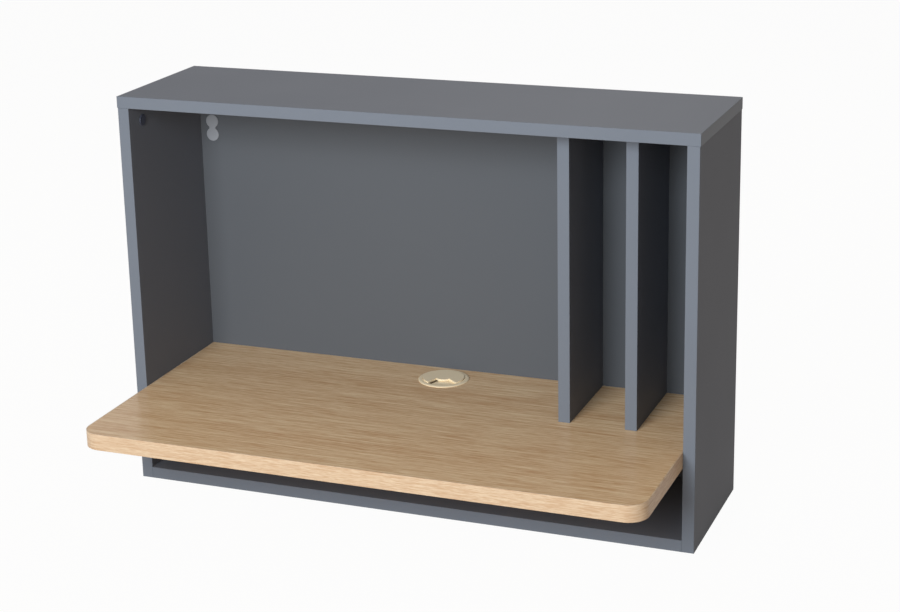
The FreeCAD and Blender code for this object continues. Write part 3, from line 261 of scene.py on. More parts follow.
def make_oak_group():
    tree, given, result = open_group(
        "oak_grain",
        {"Vector": ("Vector", None), "Light": ("Color", OAK_LIGHT), "Dark": ("Color", OAK_DARK),
         "Pore": ("Color", OAK_PORE), "Band Width": ("Float", 0.034),
         "Streak Width": ("Float", 0.0026), "Fibre Width": ("Float", 0.0013),
         "Ratio": ("Float", 26.0), "Contrast": ("Float", 2.1), "Pore Depth": ("Float", 0.35)},
        {"Color": "Color", "Height": "Float"})
    slow = vector_math(tree, "MULTIPLY", given["Vector"], DRIFT_SHAPE)
    drift = noise(tree, slow, DRIFT_MARKS, detail=2.0)["Color"]
    wander = vector_math(tree, "MULTIPLY", drift, DRIFT_REACH)
    bent = vector_math(tree, "ADD", given["Vector"], wander)
    bands = grain_noise(tree, bent, given["Band Width"], given["Ratio"])
    streaks = grain_noise(tree, bent, given["Streak Width"], given["Ratio"])
    fibres = grain_noise(tree, bent, given["Fibre Width"], FIBRE_RATIO)
    pores = grain_noise(tree, bent, given["Fibre Width"], FIBRE_RATIO, detail=1.0)
    mixed = weighted_sum(
        tree, (streaks, STREAK_WEIGHT), (bands, BAND_WEIGHT), (fibres, FIBRE_WEIGHT))
    centred = math_node(tree, "SUBTRACT", mixed, NOISE_MIDDLE)
    steep = math_node(tree, "MULTIPLY", given["Contrast"], NOISE_SPREAD)
    spread = math_node(tree, "MULTIPLY_ADD", centred, steep, NOISE_MIDDLE)
    tone = add(tree, "ShaderNodeClamp", {0: spread}).outputs[0]
    wood = blend_colour(tree, tone, given["Dark"], given["Light"])
    slit = add(tree, "ShaderNodeMapRange",
               {"Value": pores, "From Min": PORE_FROM, "From Max": PORE_FULL}).outputs[0]
    share = math_node(tree, "MULTIPLY", slit, given["Pore Depth"])
    plug(tree, result, {"Color": blend_colour(tree, share, wood, given["Pore"]),
                        "Height": math_node(tree, "MULTIPLY_ADD", slit, PORE_SINK, fibres)})
    return tree


oak_grain = make_oak_group()
print("group", oak_grain.name)

# %% [markdown]
# Every finish starts from a Principled shader. The first helper opens a material and hands back its
# tree, its shader and the coordinates it reads: Object coordinates, because every part of the desk
# keeps its place in its mesh, so they are metres in the desk's own frame. The others lay on what
# most finishes share: a colour that drifts slowly, a relief, the pebbled skin and the bare edges.
# %% Material helpers
def new_material(name, sockets):
    """A material with a Principled shader whose plain values are set on its own sockets."""
    material = bpy.data.materials.new(name)
    material.use_nodes = True
    tree = material.node_tree
    shader = tree.nodes["Principled BSDF"]
    plug(tree, shader, sockets)
    where = tree.nodes.new("ShaderNodeTexCoord").outputs
    material.diffuse_color = shader.inputs["Base Color"].default_value
    return material, tree, shader, where


def drifting(tree, where, first, second, marks, detail=2.0):
    """A colour that wanders between two others, with some marks in a metre."""
    return blend_colour(tree, noise(tree, where["Object"], marks, detail)[0], first, second)


def relief(tree, height, depth, under=None):
    """A bump with a depth in metres, which can lie on another one."""
    sockets = {"Height": height, "Distance": depth, "Strength": 1.0}
    if under is not None:
        sockets["Normal"] = under
    return add(tree, "ShaderNodeBump", sockets).outputs[0]


def skin(tree, shader, where, size, rough, variation, depth, under=None):
    """Puts the pebbled skin on a shader: its roughness and its bump."""
    made = use(tree, pebble_skin, {"Vector": where["Object"], "Pebble Size": size,
                                   "Roughness": rough, "Variation": variation})
    normal = relief(tree, made["Height"], depth, under)
    plug(tree, shader, {"Roughness": made["Roughness"], "Normal": normal})


def bare_edges(tree, where, coat, rear=REAR_EDGE, foot=NO_FOOT):
    """The coat's colour with chip core where the board is bare, and the mask between them."""
    mask = use(tree, bare_edge, {"Vector": where["Object"], "Normal": where["Normal"],
                                 "Rear": rear, "Foot": foot})["Mask"]
    chips = use(tree, chip_core, {"Vector": where["Object"]})["Color"]
    return blend_colour(tree, mask, coat, chips), mask


print("material helpers are ready")

# %% [markdown]
# The cabinet's boards are melamine on chip board in one anthracite grey. The coating wraps both
# faces, and the rear edges, which go against the wall, are left bare. A mask by place and direction
# decides between the two, so one recipe does for every board. The side panels' feet are bare too.
# %% Material: grey melamine board
LIGHTER = 1.05
GREY_BOARD = paint(108, 112, 121)
GREY_BOARD_LIGHT = (*(c * LIGHTER for c in GREY_BOARD[:3]), 1.0)
COAT_ROUGH, BARE_ROUGHER = 0.5, 0.3
SIDE_FOOT = 0.0005


def make_grey_board(name, foot):
    material, tree, shader, where = new_material(name, {"Specular IOR Level": 0.03})
    coat = drifting(tree, where, GREY_BOARD, GREY_BOARD_LIGHT, marks=2.5)
    colour, bare = bare_edges(tree, where, coat, foot=foot)
    plug(tree, shader, {"Base Color": colour})
    rough = math_node(tree, "MULTIPLY_ADD", bare, BARE_ROUGHER, COAT_ROUGH)
    skin(tree, shader, where, size=0.0007, rough=rough, variation=0.06, depth=0.00003)
    return material


grey_board = make_grey_board("grey_melamine", NO_FOOT)
grey_side = make_grey_board("grey_melamine_with_bare_foot", SIDE_FOOT)
print("boards:", grey_board.name, "and", grey_side.name)

# %% [markdown]
# The back panel is thin fibre board. Its front is lacquered grey, painted darker than the boards'
# grey as painted shade of the deep recess, and its rear is bare brown hardboard with a fine felted
# surface. The direction of the surface tells them apart.
# %% Material: lacquered back panel with a bare hardboard rear
# The lacquer's grey is darker than the boards' grey: painted shade for the back of the recess.
PAINTED_SHADE_LACQUER, PAINTED_SHADE_LACQUER_PALE = paint(94, 97, 102), paint(97, 100, 105)
HARDBOARD_DARK, HARDBOARD_LIGHT = paint(118, 89, 64), paint(158, 125, 93)
REARWARD = 0.5
FELT_MARKS, MOTTLE_MARKS = 900.0, 14.0


def make_back():
    material, tree, shader, where = new_material(
        "grey_lacquer_with_painted_shade_and_hardboard", {"Specular IOR Level": 0.05})
    rear = math_node(tree, "GREATER_THAN", split(tree, where["Normal"])[1], REARWARD)
    felt = noise(tree, where["Object"], FELT_MARKS, detail=4.0)[0]
    mottle = noise(tree, where["Object"], MOTTLE_MARKS, detail=5.0)[0]
    share = weighted_sum(tree, (mottle, 0.5), (felt, 0.5))
    brown = blend_colour(tree, share, HARDBOARD_DARK, HARDBOARD_LIGHT)
    # The darker lacquer grey paints the shade that falls deep in the cabinet.
    coat = drifting(tree, where, PAINTED_SHADE_LACQUER, PAINTED_SHADE_LACQUER_PALE, marks=2.5)
    plug(tree, shader, {"Base Color": blend_colour(tree, rear, coat, brown)})
    rough = math_node(tree, "MULTIPLY_ADD", rear, BARE_ROUGHER, COAT_ROUGH)
    skin(tree, shader, where, size=0.0008, rough=rough, variation=0.06, depth=0.00003)
    return material


grey_back = make_back()
print("back:", grey_back.name)

# %% [markdown]
# Edge bands are strips of plastic, a shade lighter and bluer than the coating, and a little
# smoother.
# %% Material: grey edge band
def make_grey_band():
    material, tree, shader, where = new_material("grey_edge_band", {"Specular IOR Level": 0.03})
    coat = drifting(tree, where, paint(115, 121, 131), paint(119, 125, 135), marks=5.0)
    plug(tree, shader, {"Base Color": coat})
    skin(tree, shader, where, size=0.0005, rough=0.38, variation=0.05, depth=0.00002)
    return material


grey_band = make_grey_band()
print("bands:", grey_band.name)

# %% [markdown]
# The worktop is the same kind of board with an oak decor. Its grain runs along the desk's width,
# and the pores are pressed a little into the surface. The end that is hidden behind the cabinet is
# bare.
# %% Material: oak worktop
WORKTOP_END = 0.2


def make_oak_top():
    material, tree, shader, where = new_material("oak_decor", {"Specular IOR Level": 0.15})
    grain = use(tree, oak_grain, {"Vector": where["Object"]})
    colour, _ = bare_edges(tree, where, grain["Color"], rear=WORKTOP_END)
    plug(tree, shader, {"Base Color": colour})
    pressed = relief(tree, grain["Height"], depth=0.00002)
    skin(tree, shader, where, size=0.0005, rough=0.24, variation=0.05, depth=0.000003,
         under=pressed)
    return material


def make_oak_band():
    material, tree, shader, where = new_material("oak_edge_band", {"Specular IOR Level": 0.15})
    grain = use(tree, oak_grain, {
        "Vector": where["UV"], "Light": paint(222, 197, 167), "Dark": paint(200, 166, 133),
        "Pore": paint(180, 143, 108), "Band Width": 0.007, "Streak Width": 0.0018,
        "Fibre Width": 0.0009, "Ratio": 14.0, "Contrast": 2.6, "Pore Depth": 0.4})
    plug(tree, shader, {"Base Color": grain["Color"]})
    pressed = relief(tree, grain["Height"], depth=0.00004)
    skin(tree, shader, where, size=0.0005, rough=0.42, variation=0.06, depth=0.00001,
         under=pressed)
    return material


oak_top = make_oak_top()
oak_band = make_oak_band()
print("oak:", oak_top.name, "and", oak_band.name)

# %% [markdown]
# The small fittings are moulded plastic in three tones, with the same skin at a finer scale.
# %% Material: moulded plastics
def make_plastic(name, light, dark, rough, specular):
    material, tree, shader, where = new_material(name, {"Specular IOR Level": specular})
    plug(tree, shader, {"Base Color": drifting(tree, where, dark, light, marks=30.0)})
    skin(tree, shader, where, size=0.0004, rough=rough, variation=0.06, depth=0.00001)
    return material


cream_plastic = make_plastic(
    "cream_plastic", paint(255, 237, 203), paint(255, 233, 197), rough=0.3, specular=0.35)
pale_plastic = make_plastic(
    "pale_grey_plastic", paint(158, 161, 167), paint(150, 153, 160), rough=0.4, specular=0.3)
dark_plastic = make_plastic(
    "dark_grey_plastic", paint(68, 72, 88), paint(63, 67, 82), rough=0.3, specular=0.4)
print("plastics:", cream_plastic.name, pale_plastic.name, dark_plastic.name)

# %% [markdown]
# Hangers and screws are zinc plated steel: a metal with a faint blue and straw tint that drifts
# over the surface. The cams are cast zinc, duller and greyer. The dowels are plain beech.
# %% Material: metals and beech
def make_metal(name, light, dark, rough, size):
    material, tree, shader, where = new_material(name, {"Metallic": 1.0})
    plug(tree, shader, {"Base Color": drifting(tree, where, dark, light, marks=60.0, detail=4.0)})
    skin(tree, shader, where, size=size, rough=rough, variation=0.2, depth=0.00001)
    return material


def make_beech():
    material, tree, shader, where = new_material("beech", {"Specular IOR Level": 0.3})
    grain = use(tree, oak_grain, {
        "Vector": where["UV"], "Light": paint(222, 184, 140), "Dark": paint(192, 148, 104),
        "Pore": paint(150, 104, 66), "Band Width": 0.004, "Streak Width": 0.0015,
        "Fibre Width": 0.0006, "Ratio": 16.0})
    plug(tree, shader, {"Base Color": grain["Color"]})
    skin(tree, shader, where, size=0.0004, rough=0.6, variation=0.1, depth=0.00002)
    return material


plated_steel = make_metal(
    "zinc_plated_steel", paint(206, 208, 212), paint(178, 180, 178), rough=0.34, size=0.0003)
cast_zinc = make_metal(
    "cast_zinc", paint(168, 168, 170), paint(140, 141, 144), rough=0.5, size=0.0005)
beech = make_beech()
print("metals and wood:", plated_steel.name, cast_zinc.name, beech.name)

# %% [markdown]
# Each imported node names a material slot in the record. A table from slot to finish dresses all of
# them at once; the side panels alone get the finish with a bare foot.
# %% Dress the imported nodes
finish_of = {
    "grey_board": grey_board, "grey_back": grey_back, "grey_band": grey_band,
    "oak_board": oak_top, "oak_band": oak_band, "cream_plastic": cream_plastic,
    "light_grey_plastic": pale_plastic, "dark_grey_plastic": dark_plastic, "beech": beech,
    "zinc_casting": cast_zinc, "zinc_plated_steel": plated_steel,
}


def finish_for(node):
    """The material of a node, by its slot in the record."""
    return grey_side if node.endswith("side_panel") else finish_of[slot_of[node]]


for name, part in nodes.items():
    for slot in part.material_slots:
        slot.material = finish_for(name)
print("dressed", len(nodes), "nodes")

# %% [markdown]
# No real edge is a knife: an edge band is trimmed with a small round, and that round is what draws
# the thin bright line along a board. The CAD solids are sharp, so the pieces whose edges show are
# copied, their loose triangles are welded into whole faces, and a Bevel modifier rounds what turns
# by more than 30 degrees. Two solids that only touch along an edge stay apart: faces belong to one
# solid when exactly two of them share an edge. The copy then stands for its node.
# %% Round the edges that show
FLAT_ANGLE = math.radians(0.4)
ROUND_ANGLE = math.radians(30)
CRISP_ANGLE = math.radians(40)
LARGEST_FACES = 100


def solid_of_faces(mesh, places):
    """The number of the solid that each face belongs to; a shared edge joins two faces."""
    sharing = defaultdict(list)
    for face in mesh.polygons:
        for first, second in face.edge_keys:
            sharing[frozenset((places[first], places[second]))].append(face.index)
    solid = list(range(len(mesh.polygons)))

    def root(index):
        while solid[index] != index:
            index = solid[index]
        return index

    for faces in sharing.values():
        if len(faces) == 2:
            low, high = sorted(root(index) for index in faces)
            solid[high] = low
    return [root(index) for index in range(len(solid))]


def welded(node):
    """A node's shell as whole faces, where solids that only touch each other stay apart."""
    source = nodes[node].data
    places = [tuple(vertex.co) for vertex in source.vertices]
    shell, corners = bmesh.new(), {}
    for face, solid in zip(source.polygons, solid_of_faces(source, places)):
        for index in face.vertices:
            if (solid, places[index]) not in corners:
                corners[solid, places[index]] = shell.verts.new(places[index])
        shell.faces.new([corners[solid, places[index]] for index in face.vertices])
    shell.normal_update()
    bmesh.ops.dissolve_limit(shell, angle_limit=FLAT_ANGLE, verts=shell.verts, edges=shell.edges)
    return shell


def mesh_from(shell, name):
    """Turns a shell into a smooth mesh and lets the shell go."""
    mesh = bpy.data.meshes.new(name)
    shell.to_mesh(mesh)
    shell.free()
    mesh.shade_smooth()
    return mesh


def stand_in(name, mesh, node):
    """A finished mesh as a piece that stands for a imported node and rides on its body."""
    mesh.materials.clear()
    mesh.materials.append(finish_for(node))
    piece = bpy.data.objects.new(name, mesh)
    bpy.context.scene.collection.objects.link(piece)
    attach(piece, body_of[node])
    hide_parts(node)
    return piece


def baked(piece):
    """Turns a piece with modifiers into a plain mesh."""
    view = bpy.context.evaluated_depsgraph_get()
    mesh = bpy.data.meshes.new_from_object(piece.evaluated_get(view))
    piece.modifiers.clear()
    piece.data = mesh
    return piece


def weigh_normals(piece):
    """Lets the large faces decide the normals, so that a flat stays flat beside a small round."""
    weighted = piece.modifiers.new("flats", "WEIGHTED_NORMAL")
    weighted.keep_sharp = True
    weighted.weight = LARGEST_FACES


def rounded(node, width, segments=2):
    """A copy of a node with rounded edges, which stands for the node."""
    piece = stand_in(node + "_rounded", mesh_from(welded(node), node + "_rounded"), node)
    bevel = piece.modifiers.new("rounds", "BEVEL")
    bevel.width = width
    bevel.segments = segments
    bevel.limit_method = "ANGLE"
    bevel.angle_limit = ROUND_ANGLE
    weigh_normals(piece)
    return baked(piece)


def report(piece):
    """Says how many faces a piece has."""
    print(piece.name, len(piece.data.polygons), "faces")


print("rounding helper is ready")

# %% [markdown]
# An edge band is a strip of plastic glued to a board and trimmed on its outer side only. A bevel
# would also round the glued side and open a groove beside the board, so each strip is built up from
# its own box: a loop of four corners at the glued side, and then one loop for each step of the
# round, each a little further out and a little smaller. Normals weighted by area keep the flats
# flat.
# %% The grey edge bands
BAND_ROUND = 0.0007
BAND_STEPS = 3
DESK_MIDDLE = Vector((0.0, 0.1, 0.3))


def loose_solids(shell):
    """The corner points of every separate solid in a shell, found by walking along its edges."""
    seen, solids = set(), []
    for start in shell.verts:
        if start in seen:
            continue
        seen.add(start)
        front, found = [start], []
        while front:
            corner = front.pop()
            found.append(corner.co.copy())
            for edge in corner.link_edges:
                other = edge.other_vert(corner)
                if other not in seen:
                    seen.add(other)
                    front.append(other)
        solids.append(found)
    shell.free()
    return solids


def box_of(corners):
    """The lowest and the highest corner of a box round some points."""
    return (Vector([min(corner[i] for corner in corners) for i in range(3)]),
            Vector([max(corner[i] for corner in corners) for i in range(3)]))


def strip_levels(low, high, thin):
    """The place along the thin axis of each loop of a strip, and how far the loop is drawn in."""
    if low[thin] + high[thin] > 2 * DESK_MIDDLE[thin]:
        glued, outer, way = low[thin], high[thin], 1.0
    else:
        glued, outer, way = high[thin], low[thin], -1.0
    levels = [(glued, 0.0)]
    for step in range(BAND_STEPS + 1):
        turn = math.pi / 2 * step / BAND_STEPS
        levels.append((outer - way * BAND_ROUND * (1 - math.sin(turn)),
                       BAND_ROUND * (1 - math.cos(turn))))
    return levels


def add_strip(shell, low, high):
    """Adds one strip with a rounded outer side to a mesh that is being built."""
    thin = min(range(3), key=lambda i: high[i] - low[i])
    first, second = (i for i in range(3) if i != thin)
    loops = []
    for depth, inset in strip_levels(low, high, thin):
        loop = []
        for a, b in ((0, 0), (1, 0), (1, 1), (0, 1)):
            corner = Vector((depth, depth, depth))
            corner[first] = (low, high)[a][first] + (inset, -inset)[a]
            corner[second] = (low, high)[b][second] + (inset, -inset)[b]
            loop.append(shell.verts.new(corner))
        loops.append(loop)
    shell.faces.new(loops[0])
    shell.faces.new(loops[-1])
    for near, far in zip(loops, loops[1:]):
        for i in range(4):
            shell.faces.new((near[i], near[i - 1], far[i - 1], far[i]))


def edge_band(node):
    """A node's strips with rounded outer sides, in place of the node."""
    shell = bmesh.new()
    for solid in loose_solids(welded(node)):
        add_strip(shell, *box_of(solid))
    bmesh.ops.recalc_face_normals(shell, faces=shell.faces)
    mesh = mesh_from(shell, node + "_strips")
    mesh.set_sharp_from_angle(angle=CRISP_ANGLE)
    piece = stand_in(node + "_rounded", mesh, node)
    weigh_normals(piece)
    return baked(piece)


for name in nodes:
    if "edge_band" in name and name != "worktop_edge_band":
        report(edge_band(name))

# %% [markdown]
# The worktop's band goes along one side, round a corner, along the front and round the other
# corner. Its grain has to bend with it, so the mesh gets a UV map in metres: the first value is the
# distance along the band and the second is the height.
# %% The worktop's edge band
OAK_BAND_ROUND = 0.0008
BAND_CORNER = 0.030
band_low, band_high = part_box("worktop_edge_band")
FRONT_HALF = band_high.x - BAND_CORNER
CORNER_Y = band_low.y + BAND_CORNER


def along_band(x, y):
    """How far along the band a point lies, counted from the middle of its front."""
    side = 1.0 if x > 0 else -1.0
    if abs(x) <= FRONT_HALF:
        return x
    if y <= CORNER_Y:
        turn = math.atan2(abs(x) - FRONT_HALF, CORNER_Y - y)
        return side * (FRONT_HALF + BAND_CORNER * turn)
    return side * (FRONT_HALF + BAND_CORNER * math.pi / 2 + y - CORNER_Y)


def map_band(mesh):
    """Writes the band's UV map."""
    layer = mesh.uv_layers.new(name="along_band")
    for loop in mesh.loops:
        place = mesh.vertices[loop.vertex_index].co
        layer.data[loop.index].uv = (along_band(place.x, place.y), place.z)


worktop_band = rounded("worktop_edge_band", OAK_BAND_ROUND, BAND_STEPS)
map_band(worktop_band.data)
band_length = 2 * along_band(band_high.x, band_high.y)
print(worktop_band.name, "is", round(band_length, 3), "m long")

# %% [markdown]
# The cable outlet and the small covers are moulded, so their rims are softly rounded too.
# %% Round the moulded pieces
MOULDED_ROUNDS = {"grommet_sleeve": 0.0005, "grommet_cap": 0.00035, "left_hanger_cover": 0.0003,
                  "right_hanger_cover": 0.0003, "cam_covers": 0.0002}
for name, width in MOULDED_ROUNDS.items():
    report(rounded(name, width))

# %% [markdown]
# Screws, bolts and dowels are turned parts: a profile is spun round an axis, and a ridge winds
# round it as a thread or runs straight along it as the flutes of a dowel. Each could be a lathe
# operation of its own, but they all follow one rule, so one Geometry Nodes tree makes them. It
# wraps a flat grid round the axis, one row for each point of the profile, cuts the cross recess
# with two bars, and sets a copy on every point of the mesh that carries the modifier.
# %% Geometry Nodes: the tree for turned fasteners
MEAN_RADIUS = 0.004
SEAM = 1e-6


def profile_row(tree, profile, value, kind, row):
    """A value of the profile's point with the number of a row."""
    sockets = {"Geometry": profile, "Value": value, "Index": row}
    return add(tree, "GeometryNodeSampleIndex", sockets, data_type=kind).outputs[0]


def wrap_profile(tree, given):
    """The grid wrapped round the axis; its seam and its two ends are closed by merging."""
    profile = add(tree, "GeometryNodeObjectInfo", {"Object": given["Profile"]}).outputs["Geometry"]
    rows = add(tree, "GeometryNodeAttributeDomainSize",
               {"Geometry": profile}).outputs["Point Count"]
    grid = add(tree, "GeometryNodeMeshGrid",
               {"Vertices X": math_node(tree, "ADD", given["Sides"], 1.0), "Vertices Y": rows})
    index = tree.nodes.new("GeometryNodeInputIndex").outputs[0]
    row = math_node(tree, "MODULO", index, rows)
    column = math_node(tree, "FLOOR", math_node(tree, "DIVIDE", index, rows))
    place = tree.nodes.new("GeometryNodeInputPosition").outputs[0]
    ridge = add(tree, "GeometryNodeInputNamedAttribute", {"Name": "ridge"},
                data_type="FLOAT").outputs[0]
    corner = profile_row(tree, profile, place, "FLOAT_VECTOR", row)
    ridge_height = profile_row(tree, profile, ridge, "FLOAT", row)
    radius, _, along = split(tree, corner)
    turn = math_node(tree, "DIVIDE", column, given["Sides"])
    wound = math_node(tree, "MULTIPLY", along, given["Turns Per Metre"])
    phase = math_node(tree, "SUBTRACT", wound,
                      math_node(tree, "MULTIPLY", turn, given["Starts"]))
    slope = math_node(tree, "MULTIPLY_ADD", math_node(tree, "FRACT", phase), 2.0, -1.0)
    crest = math_node(tree, "SUBTRACT", 1.0, math_node(tree, "ABSOLUTE", slope))
    wide = math_node(tree, "MULTIPLY_ADD", crest, ridge_height, radius)
    angle = math_node(tree, "MULTIPLY", turn, 2 * math.pi)
    spun = join(tree, math_node(tree, "MULTIPLY", wide, math_node(tree, "COSINE", angle)),
                math_node(tree, "MULTIPLY", wide, math_node(tree, "SINE", angle)), along)
    flat = join(tree, along, math_node(tree, "MULTIPLY", angle, MEAN_RADIUS))
    laid = add(tree, "GeometryNodeFieldOnDomain", {0: flat}, data_type="FLOAT_VECTOR",
               domain="POINT").outputs[0]
    mapped = add(tree, "GeometryNodeStoreNamedAttribute",
                 {"Geometry": grid.outputs["Mesh"], "Name": "along_axis", "Value": laid},
                 data_type="FLOAT2", domain="CORNER").outputs[0]
    bent = add(tree, "GeometryNodeSetPosition", {"Geometry": mapped, "Position": spun}).outputs[0]
    return add(tree, "GeometryNodeMergeByDistance",
               {"Geometry": bent, "Distance": SEAM}).outputs[0]


def cut_cross(tree, given, solid):
    """The same solid with a cross recess in its head, or as it was if the recess has no depth."""
    deep = math_node(tree, "MULTIPLY", given["Recess Depth"], 2.0)
    long = math_node(tree, "MULTIPLY", given["Recess Arm"], 2.0)
    lift = join(tree, z=given["Recess Top"])
    cut = add(tree, "GeometryNodeMeshBoolean", {0: solid}, operation="DIFFERENCE", solver="EXACT")
    for across, back in ((long, given["Recess Width"]), (given["Recess Width"], long)):
        bar = add(tree, "GeometryNodeMeshCube", {"Size": join(tree, across, back, deep)})
        raised = add(tree, "GeometryNodeTransform",
                     {"Geometry": bar.outputs[0], "Translation": lift})
        tree.links.new(raised.outputs[0], cut.inputs[1])
    return add(tree, "GeometryNodeSwitch",
               {"Switch": given["Recess Depth"], "False": solid, "True": cut.outputs[0]},
               input_type="GEOMETRY").outputs[0]


def make_turned_tree():
    tree, given, result = open_group(
        "turned_fastener",
        {"Points": ("Geometry", None), "Profile": ("Object", None), "Sides": ("Int", 24),
         "Starts": ("Int", 1), "Turns Per Metre": ("Float", 0.0),
         "Recess Arm": ("Float", 0.0029), "Recess Width": ("Float", 0.0012),
         "Recess Depth": ("Float", 0.0), "Recess Top": ("Float", 0.0),
         "Material": ("Material", None)},
        {"Geometry": "Geometry"}, "GeometryNodeTree")
    solid = cut_cross(tree, given, wrap_profile(tree, given))
    axis = add(tree, "GeometryNodeInputNamedAttribute", {"Name": "axis"},
               data_type="FLOAT_VECTOR").outputs[0]
    aim = add(tree, "FunctionNodeAlignRotationToVector", {"Vector": axis}, axis="Z").outputs[0]
    copies = add(tree, "GeometryNodeInstanceOnPoints",
                 {"Points": given["Points"], "Instance": solid, "Rotation": aim}).outputs[0]
    real = add(tree, "GeometryNodeRealizeInstances", {"Geometry": copies}).outputs[0]
    dressed = add(tree, "GeometryNodeSetMaterial",
                  {"Geometry": real, "Material": given["Material"]}).outputs[0]
    plug(tree, result, {"Geometry": dressed})
    return tree


turned_fastener = make_turned_tree()
print("tree", turned_fastener.name, "with", len(turned_fastener.nodes), "nodes")

# %% [markdown]
# Where do the copies go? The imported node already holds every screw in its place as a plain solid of
# its own. The longest side of each solid is its axis, and its wider end is its head, so the point
# is set on the other end, the tip, and looks towards the head.
# %% Find the tip and the axis of each solid
SAME_HEIGHT = 0.0001
SAME_RADIUS = 0.00001


def tip_and_axis(corners):
    """The middle of a turned solid's narrow end, and the direction from there to its head."""
    low, high = box_of(corners)
    along = max(range(3), key=lambda i: high[i] - low[i])
    middle = (low + high) / 2

    def reach(end):
        spokes = [corner - middle for corner in corners if abs(corner[along] - end) < SAME_HEIGHT]
        for spoke in spokes:
            spoke[along] = 0.0
        return max(spoke.length for spoke in spokes)

    head_high = reach(high[along]) >= reach(low[along]) - SAME_RADIUS
    tip, axis = middle.copy(), Vector((0.0, 0.0, 0.0))
    tip[along] = low[along] if head_high else high[along]
    axis[along] = 1.0 if head_high else -1.0
    return tip, axis


def tips_and_axes(node):
    """The tip and the axis of every solid in a node."""
    return [tip_and_axis(corners) for corners in loose_solids(welded(node))]


cam_bolts = tips_and_axes("cam_bolts")
print(len(cam_bolts), "cam bolts, the first at", [round(c, 3) for c in cam_bolts[0][0]])

# %% [markdown]
# A profile is a row of corners, each with its height above the tip, its radius and the height of
# the ridge there, all in millimetres. A thread needs several rows in each turn, so a stretch with a
# ridge is divided finely. The bolt's thread is coarse because it holds in chip board, the depth
# screw's is a fine machine thread of one millimetre, and the dowel has straight flutes that let the
# glue rise.
# %% Turn the screws, bolts and dowels
MM = 1000


def profile_object(name, corners, step):
    """A profile as an open line in the XZ plane, with the ridge as an attribute of its points."""
    rows = [(0.0, corners[0][0], 0.0)]
    for (z0, r0, k0), (z1, r1, k1) in zip(corners, corners[1:]):
        count = math.ceil((z1 - z0) / step) if k0 or k1 else 1
        for i in range(count):
            t = i / count
            rows.append((r0 + (r1 - r0) * t, z0 + (z1 - z0) * t, k0 + (k1 - k0) * t))
    rows.append((corners[-1][1], corners[-1][0], 0.0))
    rows.append((0.0, corners[-1][0], 0.0))
    mesh = bpy.data.meshes.new(name)
    mesh.from_pydata([(r / MM, 0.0, z / MM) for r, z, _ in rows], [], [])
    ridge = mesh.attributes.new("ridge", "FLOAT", "POINT")
    ridge.data.foreach_set("value", [k / MM for _, _, k in rows])
    return bpy.data.objects.new(name, mesh)


def tip_mesh(name, places):
    """A mesh with a point on every tip, which knows the way to the head."""
    points = bpy.data.meshes.new(name)
    points.from_pydata([tip for tip, _ in places], [], [])
    axes = points.attributes.new("axis", "FLOAT_VECTOR", "POINT")
    axes.data.foreach_set("vector", [value for _, axis in places for value in axis])
    return points


def close_and_smooth(mesh):
    """Turns every face outwards and keeps the corners crisp."""
    shell = bmesh.new()
    shell.from_mesh(mesh)
    bmesh.ops.recalc_face_normals(shell, faces=shell.faces)
    open_edges = sum(not edge.is_manifold for edge in shell.edges)
    shell.to_mesh(mesh)
    shell.free()
    mesh.shade_smooth()
    mesh.set_sharp_from_angle(angle=CRISP_ANGLE)
    print("   open edges", open_edges)


def turned(node, corners, step, **values):
    """Turned fasteners in place of a node's plain solids."""
    line = profile_object(node + "_profile", corners, step)
    piece = stand_in(node + "_turned", tip_mesh(node + "_turned", tips_and_axes(node)), node)
    maker = piece.modifiers.new("turned", "NODES")
    maker.node_group = turned_fastener
    values.update({"Profile": line, "Material": finish_for(node),
                   "Recess Top": corners[-1][0] / MM})
    for socket in turned_fastener.interface.items_tree:
        if socket.name in values:
            maker[socket.identifier] = values[socket.name]
    baked(piece)
    bpy.data.objects.remove(line)
    close_and_smooth(piece.data)
    return piece


BOLT = [(0, 1.6, 0), (0.9, 2.3, 0.5), (1.5, 2.3, 0.6), (9.4, 2.3, 0.6), (10.3, 2.3, 0),
        (10.5, 2.3, 0), (10.5, 3.4, 0), (29.5, 3.4, 0), (29.5, 2.2, 0), (32.5, 2.2, 0),
        (32.5, 2.7, 0), (33.1, 3.3, 0), (34.7, 3.3, 0), (35.5, 2.5, 0)]
WOOD_SCREW = [(0, 0.2, 0), (4, 2.1, 0.5), (5, 2.1, 0.8), (22.5, 2.1, 0.8), (23.8, 2.3, 0),
              (24, 3.4, 0), (45.4, 3.4, 0), (47.4, 4.8, 0), (48.3, 4.8, 0), (48.6, 4.6, 0)]
PAN_SCREW = [(0, 0.2, 0), (2.6, 1.75, 0.4), (3.4, 1.75, 0.65), (10.8, 1.75, 0.65),
             (11.8, 1.75, 0), (12, 1.75, 0), (12, 4.5, 0), (12.7, 4.5, 0), (13.3, 4.2, 0),
             (13.7, 3.6, 0), (14, 2.4, 0)]
DEPTH_SCREW = [(0, 2.2, 0), (0.4, 2.6, 0.3), (0.8, 2.6, 0.4), (10.7, 2.6, 0.4),
               (11.1, 2.6, 0), (11.2, 2.6, 0), (11.2, 4.5, 0), (12.1, 4.5, 0), (12.1, 3.0, 0),
               (14.55, 3.0, 0), (14.55, 4.5, 0), (15.5, 4.5, 0), (15.85, 4.1, 0)]
DOWEL = [(0, 3.1, 0), (0.8, 3.6, 0.3), (29.2, 3.6, 0.3), (30, 3.1, 0)]
DEPTH_THREAD = {"Turns Per Metre": 1000.0, "Recess Depth": 0.0018}

